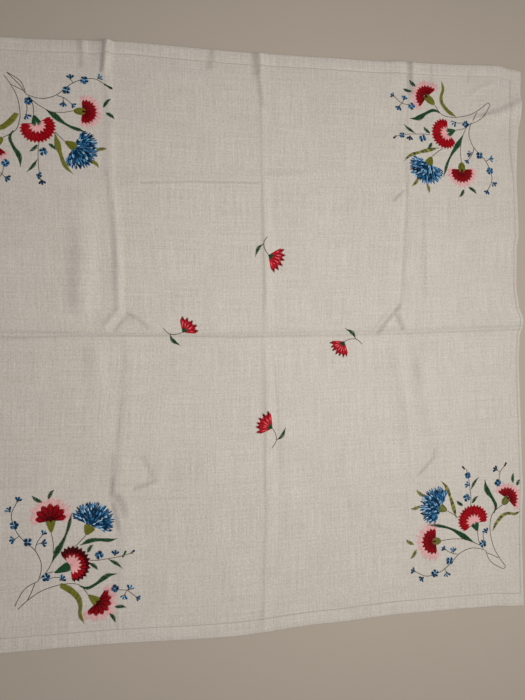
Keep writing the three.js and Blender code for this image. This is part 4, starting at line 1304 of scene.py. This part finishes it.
def floss_material(name, light, dark, roughness=0.5):
    """Mercerised cotton floss laid flat: a soft gloss along the strands, a tone of its own for
    each stitch, and the faint slant of its twist, drawn at three times its real pitch so that it
    shows in a close view."""
    material, tree, surface = new_material(
        name, Roughness=roughness, Specular_IOR_Level=0.06)
    tone = add_node(tree, "Attribute", attribute_name="tone")
    mixed = add_node(tree, "Mix", {"Factor": tone.outputs["Fac"]}, data_type="RGBA")
    mixed.inputs[6].default_value = colour(dark)
    mixed.inputs[7].default_value = colour(light)
    tree.links.new(mixed.outputs[2], surface.inputs["Base Color"])
    thread = add_node(tree, "UVMap", uv_map="thread")
    twist = add_node(tree, "TexWave", {
        "Vector": thread.outputs["UV"], "Scale": 0.5, "Distortion": 0.6, "Detail": 1.0},
        wave_type="BANDS", bands_direction="DIAGONAL")
    bump = add_node(tree, "Bump", {
        "Height": twist.outputs["Fac"], "Strength": 0.4, "Distance": 0.12 * MM})
    tree.links.new(bump.outputs["Normal"], surface.inputs["Normal"])
    return material


FLOSSES = {  # light and dark of each floss
    "green": ("#305f3e", "#0f2716"),
    "olive": ("#8b8c36", "#5c5f20"),
    "shaded": ("#9c9c50", "#3f4026"),
    "crimson": ("#a20b19", "#3a0305"),
    "throat": ("#5a0a0c", "#2c0404"),
    "maroon": ("#560d12", "#260405"),
    "scarlet": ("#c4101f", "#5a0409"),
    "red": ("#cc1c2c", "#84101c"),
    "coral": ("#f07880", "#d63c48"),
    "pink": ("#f0c2c2", "#d79799"),
    "rose": ("#f2bcbc", "#dc9a9a"),
    "deep blue": ("#134064", "#06192c"),
    "mid blue": ("#3f82b2", "#184e7c"),
    "pale blue": ("#b4d4e8", "#6ca2c8"),
    "bark": ("#3b3524", "#1c160d"),
    "rust": ("#6a4934", "#3e2b1c"),
}


def floss(context, name):
    """The material of a floss, made the first time it is threaded."""
    key = name.replace(" ", "_")
    material_name = "cotton_floss_" + key
    settings = context.scene.tablecloth_floss
    return bpy.data.materials.get(material_name) or floss_material(
        material_name, getattr(settings, key), getattr(settings, key + "_dark"),
        settings.roughness)


def colour_property(name, code, description):
    """A colour that a user can change, from an sRGB hex value."""
    return bpy.props.FloatVectorProperty(
        name=name, description=description, subtype="COLOR", min=0, max=1, default=linear(code))


class TableclothLinen(bpy.types.PropertyGroup):
    """The linen's colours and weave"""

    linen_colour: colour_property("Linen", "#ddd6ce", "The light side of the linen's threads")
    shade_colour: colour_property("Linen's shade", "#bab1a7", "The dark side of the threads")
    thread_group: bpy.props.FloatProperty(
        name="Thread group", description="Width of the groups that uneven threads are drawn in",
        default=1.1 * MM, min=0.5 * MM, max=5 * MM, unit="LENGTH", precision=5)


class TableclothFloss(bpy.types.PropertyGroup):
    """The flosses' gloss and colours"""

    roughness: bpy.props.FloatProperty(
        name="Roughness", description="How matt the floss is", default=0.5, min=0, max=1,
        subtype="FACTOR")


for floss_name, (light_code, dark_code) in FLOSSES.items():
    floss_key = floss_name.replace(" ", "_")
    TableclothFloss.__annotations__[floss_key] = colour_property(
        floss_name.capitalize(), light_code, "Light side of the " + floss_name + " floss")
    TableclothFloss.__annotations__[floss_key + "_dark"] = colour_property(
        floss_name.capitalize() + ", dark", dark_code, "Dark side of the " + floss_name + " floss")


class TableclothStage(bpy.types.PropertyGroup):
    """The floor's colour and the lights"""

    floor_colour: colour_property("Floor", "#b5aa9d", "A plain pale floor")
    key_power: bpy.props.FloatProperty(
        name="Window light", description="Power of the broad light from the right",
        default=52.0, min=0, subtype="POWER", unit="POWER")
    top_power: bpy.props.FloatProperty(
        name="Ceiling light", description="Power of the soft light overhead",
        default=4.5, min=0, subtype="POWER", unit="POWER")
    fill: bpy.props.FloatProperty(
        name="Fill", description="Strength of the even light from all round",
        default=0.225, min=0, max=2)


class TABLECLOTH_OT_stage(bpy.types.Operator):
    """Sets up the camera, a pale floor and soft studio light"""

    bl_idname = "tablecloth.stage"
    bl_label = "Stage"

    def execute(self, context):
        settings = context.scene.tablecloth_stage
        context.scene.view_settings.view_transform = "Standard"
        lens = bpy.data.cameras.new("camera")
        lens.sensor_width = SENSOR_MM
        lens.lens = SENSOR_MM * FOCAL_PIXELS / PICTURE_HEIGHT
        lens.clip_start = 0.05
        lens.clip_end = 50
        camera = bpy.data.objects.new("camera", lens)
        right = Vector(CAMERA_RIGHT).normalized()
        up = (Vector(CAMERA_UP) - right * right.dot(Vector(CAMERA_UP))).normalized()
        turned = Matrix((right, up, right.cross(up))).transposed().to_4x4()
        spot = Vector(CAMERA_PLACE) + Vector((CROSSING.real, CROSSING.imag, 0))
        camera.matrix_world = Matrix.Translation(spot * MM) @ turned
        context.scene.collection.objects.link(camera)
        context.scene.camera = camera
        self.lamp(context, "window_light", WINDOW, settings.key_power)
        self.lamp(context, "ceiling_light", CEILING, settings.top_power)
        world = bpy.data.worlds.new("studio")
        world.use_nodes = True
        background = world.node_tree.nodes["Background"]
        background.inputs["Color"].default_value = ROOM_COLOUR
        background.inputs["Strength"].default_value = settings.fill
        context.scene.world = world
        self.floor(context, settings)
        return {"FINISHED"}

    def lamp(self, context, name, stand, power):
        """A square lamp at its place, turned to its aim."""
        lamp = bpy.data.lights.new(name, "AREA")
        lamp.size = stand["size"]
        lamp.energy = power
        lamp.color = LAMP_COLOUR
        lamp_object = bpy.data.objects.new(name, lamp)
        lamp_object.location = stand["place"]
        sight = Vector(stand["aim"]) - Vector(stand["place"])
        lamp_object.rotation_euler = sight.to_track_quat("-Z", "Y").to_euler()
        context.scene.collection.objects.link(lamp_object)

    def floor(self, context, settings):
        """A painted floor: matt and a shade uneven, so that it draws no eye."""
        material, tree, surface = new_material("painted_floor", Roughness=0.8,
                                               Specular_IOR_Level=0.2)
        place = add_node(tree, "TexCoord")
        grain = add_node(tree, "TexNoise", {
            "Vector": place.outputs["Object"], "Scale": 3.0, "Detail": 4.0})
        tone = add_node(tree, "MapRange", {
            "Value": grain.outputs["Fac"], "To Min": 0.97, "To Max": 1.03})
        tint = add_node(tree, "VectorMath", {
            0: settings.floor_colour[:], "Scale": tone.outputs["Result"]}, operation="SCALE")
        tree.links.new(tint.outputs["Vector"], surface.inputs["Base Color"])
        half, low = FLOOR["half"], -FLOOR["low"]
        mesh = bpy.data.meshes.new("floor")
        mesh.from_pydata([(-half, -half, low), (half, -half, low), (half, half, low),
                          (-half, half, low)], [], [(0, 1, 2, 3)])
        mesh.materials.append(material)
        floor = bpy.data.objects.new("floor", mesh)
        context.scene.collection.objects.link(floor)


class TABLECLOTH_OT_linen(bpy.types.Operator):
    """Lays the linen sheet with its hem, its folds and the drawn band beside the hem"""

    bl_idname = "tablecloth.linen"
    bl_label = "Linen"

    def execute(self, context):
        points, faces, weave, pressed = sheet_mesh()
        material = linen_material(context.scene.tablecloth_linen)
        linen = add_piece("linen", points, faces.tolist(), material, "linen",
                          uv=("weave", weave), values=("pressed", pressed),
                          sharp=math.radians(60))
        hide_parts("cloth")
        return {"FINISHED"}


def side_places(steps, inwards):
    """Places on each of the four sides of the cloth, as far along it as the steps and as far in
    from the hem as given. On the right they start where the hem comes into sight."""
    reach = INNER_HEM - inwards
    shown = steps[steps > STITCHED_FROM]
    return np.concatenate([
        on_cloth(steps, np.full_like(steps, -reach)), on_cloth(np.full_like(shown, reach), shown),
        on_cloth(steps, np.full_like(steps, reach)), on_cloth(np.full_like(steps, -reach), steps),
    ])


class TABLECLOTH_OT_hemstitching(bpy.types.Operator):
    """Gathers the threads that cross the drawn band into bundles and sews them to the hem"""

    bl_idname = "tablecloth.hemstitching"
    bl_label = "Hemstitching"

    def execute(self, context):
        linen = bpy.data.materials["plain_woven_flax_linen"]
        long = INNER_HEM - DRAWN_BAND - 1
        steps = np.linspace(-long, long, int(2 * long / HOLE_PITCH))
        self.bundles(steps, linen)
        self.thread(steps, linen)
        return {"FINISHED"}

    def bundles(self, steps, linen):
        """Each bundle crosses the band as a flat tube, wide at both ends and narrow at its
        waist."""
        paths = np.stack([side_places(steps, DRAWN_BAND * s) for s in BUNDLE_SHARES], axis=-1)
        heights = lift(paths) + BUNDLE["height"]
        widths = np.broadcast_to(BUNDLE_WIDTHS, paths.shape)
        crowns = np.full(paths.shape, BUNDLE["crown"])
        points, faces, uv = tubes(paths, heights, widths, crowns, BUNDLE["dive"])
        add_piece("hemstitch_bundles", points, faces, linen, "linen", uv=("weave", uv))

    def thread(self, steps, linen):
        """The sewing thread's slanting stitch from each waist into the hem."""
        middle = side_places(steps, DRAWN_BAND / 2)
        reach = side_places(steps, -SEWING["into"]) - middle
        table = stitches(middle, middle + reach * (1 + 1j * SEWING["slant"]), SEWING["width"],
                         rise=SEWING["rise"])
        points, faces, uv, _ = stitch_rings(table, RINGS)
        add_piece("hemstitch_thread", points, faces, linen, "linen", uv=("weave", uv))


def group_shift(copy, group):
    """How far a group of the drawing is shifted within one copy of it."""
    return copy.get("shifts", {}).get(group, 0)


def embroider(context, seed, motif, pieces, copies=SPRAY_COPIES, middle=SPRAY_MIDDLE):
    """Works a motif in each copy of the drawing, and makes a piece of all that is worked in one
    floss. The motif gives a group, a floss and tables of stitches, one after another. pieces has
    the name of each floss's piece."""
    work = defaultdict(list)
    for number, copy in enumerate(copies):
        rng = np.random.default_rng(SEEDS[seed] + number)
        for group, key, tables in motif(rng, copy):
            for table in tables:
                table = moved(table, group_shift(copy, group), 0)
                work[key].append(copied(table, copy, middle))
    for key, name in pieces.items():
        if work[key]:
            stitch_piece(name, work[key], floss(context, key))
    return {"FINISHED"}


def stood(flower, tables):
    """Tables of stitches at a flower's foot, turned the way it faces."""
    return [moved(table, flower["foot"], flower["faces"]) for table in tables]


DRAWN_FEET = {flower["name"]: flower["foot"]
              for flower in (*FRINGED_CARNATIONS, SCARLET_CARNATION, CORNFLOWER)}


def stem_end_shifts(copy, stem):
    """How far a copy moves what a stem comes off and what it leads to."""
    leans = copy["leans"]
    off = leans.get(stem["off"], (0, 0))[0] * OFF_A_LEAF
    name = stem["to"]
    if name in DRAWN_FEET:
        foot = DRAWN_FEET[name]
        return off, copy.get(name, {}).get("foot", foot) - foot
    return off, leans.get(name, (0, 0))[0]


def stem_motif(rng, copy):
    """The stems of a copy, each carried at both ends with what it comes off and leads to."""
    for stem in (*STEMS, *copy["extra"]):
        if copy.get(stem["to"], {}) is None:
            continue
        through = np.array(stem["through"])
        first, last = (group_shift(copy, group) + shift for group, shift in
                       zip(stem["groups"], stem_end_shifts(copy, stem)))
        through = through + first + (last - first) * np.linspace(0, 1, len(through))
        yield None, stem["floss"], [stem_line(rng, through)]


def leaf_motif(rng, copy):
    """The leaves of a copy. A lean moves a leaf's foot by itself times the square of what is left
    to the tip, and its tip by the square of what lies behind."""
    for leaf, key in zip(LONG_LEAVES, copy["leaves"]):
        through = leaf["through"]
        if leaf["name"] == "under the cornflower" and "straighter" in copy:
            through = STRAIGHTER_LEAF
        foot, tip = copy["leans"].get(leaf["name"], (0, 0))
        share = np.linspace(0, 1, len(through))
        through = np.array(through) + foot * (1 - share) ** 2 + tip * share ** 2
        widths = copy["widths"].get(leaf["name"], leaf["widths"])
        yield leaf["group"], key, [satin_leaf(rng, through, widths, LEAF_SHADES.get(key, 0.2))]
    for leaf in SMALL_LEAVES:
        if leaf["group"] in copy["pairs"]:
            foot, tip = copy["leans"].get(leaf.get("name"), (0, 0))
            foot, tip = leaf["foot"] + foot, leaf["tip"] + tip
            through = (foot, foot + (tip - foot) * SMALL_BEND, tip)
            yield leaf["group"], copy["pairs"][leaf["group"]], [
                satin_leaf(rng, through, SMALL_WIDTHS)]


def fringed_motif(rng, copy):
    """The two dark carnations of a copy, with their fringes and cups."""
    for drawn in FRINGED_CARNATIONS:
        flower = {**drawn, **copy.get(drawn["name"], {})}
        for key, tables in fringed_carnation(rng, flower, copy["teeth"]).items():
            yield flower["group"], key, stood(flower, tables)
        mouth, bulge = copy["mouths"]
        cup = green_cup(rng, flower["cup"], CUP_FEET["fringed"], mouth, notch=0.26, bulge=bulge)
        yield flower["group"], copy["cups"], stood(flower, [cup])


def scarlet_motif(rng, copy):
    """The scarlet carnation of a copy, with its cup."""
    flower = {**SCARLET_CARNATION, **copy.get("middle carnation", {})}
    for key, tables in scarlet_carnation(rng, flower).items():
        yield flower["group"], key, stood(flower, tables)
    cup = green_cup(rng, flower["cup"] - flower["starts"], CUP_FEET["scarlet"], flower["opens"],
                    flower["notch"], bulge=0.6, tone=0.7)
    yield flower["group"], "green", stood(flower, [moved(cup, flower["starts"], 0)])


def cornflower_motif(rng, copy):
    """The cornflower of a copy, with its cup."""
    flower = {**CORNFLOWER, **copy.get("cornflower", {})}
    for key, tables in cornflower(rng, flower).items():
        yield flower["group"], key, stood(flower, tables)
    cup = green_cup(rng, flower["cup"], CUP_FEET["cornflower"], flower["opens"], notch=0.0,
                    bulge=0.8)
    yield flower["group"], copy["cups"], stood(flower, [cup])


def forget_me_not_motif(rng, copy):
    """The small blue flowers and buds of a copy."""
    for drawn in FORGET_ME_NOTS:
        change = copy.get(drawn["name"], {})
        if change is None:
            continue
        flower = {**drawn, **change}
        for key, tables in small_flower(rng, flower).items():
            yield flower["group"], key, [
                moved(table, flower["at"], flower["faces"]) for table in tables]


def sprig_motif(rng, copy):
    """A sprig: its flower, its cup, its leaf and its stem."""
    petals = coral_flower(rng, SPRIG, copy["petals"], copy["size"])
    for key, tables in petals.items():
        yield None, key, stood(SPRIG, tables)
    cup = green_cup(rng, SPRIG["cup"], CUP_FEET["sprig"], SPRIG["opens"], notch=0.12, bulge=0)
    leaf = satin_leaf(rng, SPRIG_LEAF["through"], SPRIG_LEAF["widths"])
    yield None, "green", [*stood(SPRIG, [cup]), leaf]
    yield None, "bark", [stem_line(rng, SPRIG_STEM)]


class TABLECLOTH_OT_stems(bpy.types.Operator):
    """Works the stems of the sprays in stem stitch"""

    bl_idname = "tablecloth.stems"
    bl_label = "Stems"

    def execute(self, context):
        return embroider(context, "stems", stem_motif, {
            "bark": "stems_dark", "rust": "stems_brown"})


class TABLECLOTH_OT_leaves(bpy.types.Operator):
    """Works the long leaves and the small pairs of leaves in satin stitch"""

    bl_idname = "tablecloth.leaves"
    bl_label = "Leaves"

    def execute(self, context):
        return embroider(context, "leaves", leaf_motif, {
            key: "leaves_" + key for key in ("green", "olive", "shaded")})


class TABLECLOTH_OT_fringed_carnations(bpy.types.Operator):
    """Works the two dark carnations of each spray, with their pale fringes and green cups"""

    bl_idname = "tablecloth.fringed_carnations"
    bl_label = "Fringed carnations"

    def execute(self, context):
        return embroider(context, "fringed carnations", fringed_motif, {
            "crimson": "carnation_petals", "throat": "carnation_throats",
            "pink": "carnation_fringes", "olive": "carnation_cups",
            "shaded": "carnation_cups_shaded"})


class TABLECLOTH_OT_scarlet_carnations(bpy.types.Operator):
    """Works the scarlet carnation in the middle of each spray"""

    bl_idname = "tablecloth.scarlet_carnations"
    bl_label = "Scarlet carnations"

    def execute(self, context):
        return embroider(context, "scarlet carnations", scarlet_motif, {
            "scarlet": "scarlet_petals", "maroon": "scarlet_dark_tips",
            "rose": "scarlet_hearts", "green": "scarlet_cups"})


class TABLECLOTH_OT_cornflowers(bpy.types.Operator):
    """Works the cornflower of each spray in three blues"""

    bl_idname = "tablecloth.cornflowers"
    bl_label = "Cornflowers"

    def execute(self, context):
        return embroider(context, "cornflowers", cornflower_motif, {
            "deep blue": "cornflower_deep", "mid blue": "cornflower_mid",
            "pale blue": "cornflower_pale", "olive": "cornflower_cups",
            "shaded": "cornflower_cups_shaded"})


class TABLECLOTH_OT_forget_me_nots(bpy.types.Operator):
    """Works the small blue flowers and their buds"""

    bl_idname = "tablecloth.forget_me_nots"
    bl_label = "Forget-me-nots"

    def execute(self, context):
        return embroider(context, "forget-me-nots", forget_me_not_motif, {
            "deep blue": "forget_me_nots_deep", "mid blue": "forget_me_nots_mid",
            "pale blue": "forget_me_nots_pale", "bark": "forget_me_not_feet",
            "green": "green_buds"})


class TABLECLOTH_OT_sprigs(bpy.types.Operator):
    """Works the four coral sprigs round the middle of the cloth"""

    bl_idname = "tablecloth.sprigs"
    bl_label = "Sprigs"

    def execute(self, context):
        return embroider(context, "sprigs", sprig_motif, {
            "red": "sprig_petals", "coral": "sprig_middles", "crimson": "sprig_points",
            "green": "sprig_greens", "bark": "sprig_stems"}, SPRIG_COPIES, SPRIG_MIDDLE)


class TABLECLOTH_PT_panel(bpy.types.Panel):
    """Lists the cloth's sizes and colours and the steps that make it"""

    bl_label = "Tablecloth"
    bl_idname = "TABLECLOTH_PT_panel"
    bl_space_type = "VIEW_3D"
    bl_region_type = "UI"
    bl_category = "Tablecloth"

    def draw(self, context):
        for group in (context.scene.tablecloth_linen, context.scene.tablecloth_floss,
                      context.scene.tablecloth_stage):
            box = self.layout.box()
            for name in group.__annotations__:
                box.prop(group, name)
        for operator in OPERATORS:
            self.layout.operator(operator.bl_idname)


OPERATORS = (
    TABLECLOTH_OT_stage, TABLECLOTH_OT_linen, TABLECLOTH_OT_hemstitching, TABLECLOTH_OT_stems,
    TABLECLOTH_OT_leaves, TABLECLOTH_OT_fringed_carnations, TABLECLOTH_OT_scarlet_carnations,
    TABLECLOTH_OT_cornflowers, TABLECLOTH_OT_forget_me_nots, TABLECLOTH_OT_sprigs,
)
GROUPS = {"tablecloth_linen": TableclothLinen, "tablecloth_floss": TableclothFloss,
          "tablecloth_stage": TableclothStage}


def register():
    for cls in (*GROUPS.values(), *OPERATORS, TABLECLOTH_PT_panel):
        bpy.utils.register_class(cls)
    for name, cls in GROUPS.items():
        setattr(bpy.types.Scene, name, bpy.props.PointerProperty(type=cls))


def unregister():
    for name in GROUPS:
        delattr(bpy.types.Scene, name)
    for cls in (TABLECLOTH_PT_panel, *reversed(OPERATORS), *reversed(GROUPS.values())):
        bpy.utils.unregister_class(cls)


def declare_cloth():
    """Looks up the linen piece."""
    linen = bpy.data.objects["linen"]


def main():
    register()
    for operator in OPERATORS:
        group, name = operator.bl_idname.split(".")
        getattr(getattr(bpy.ops, group), name)()
    declare_cloth()
    bpy.context.view_layer.update()


if __name__ == "__main__":
    main()
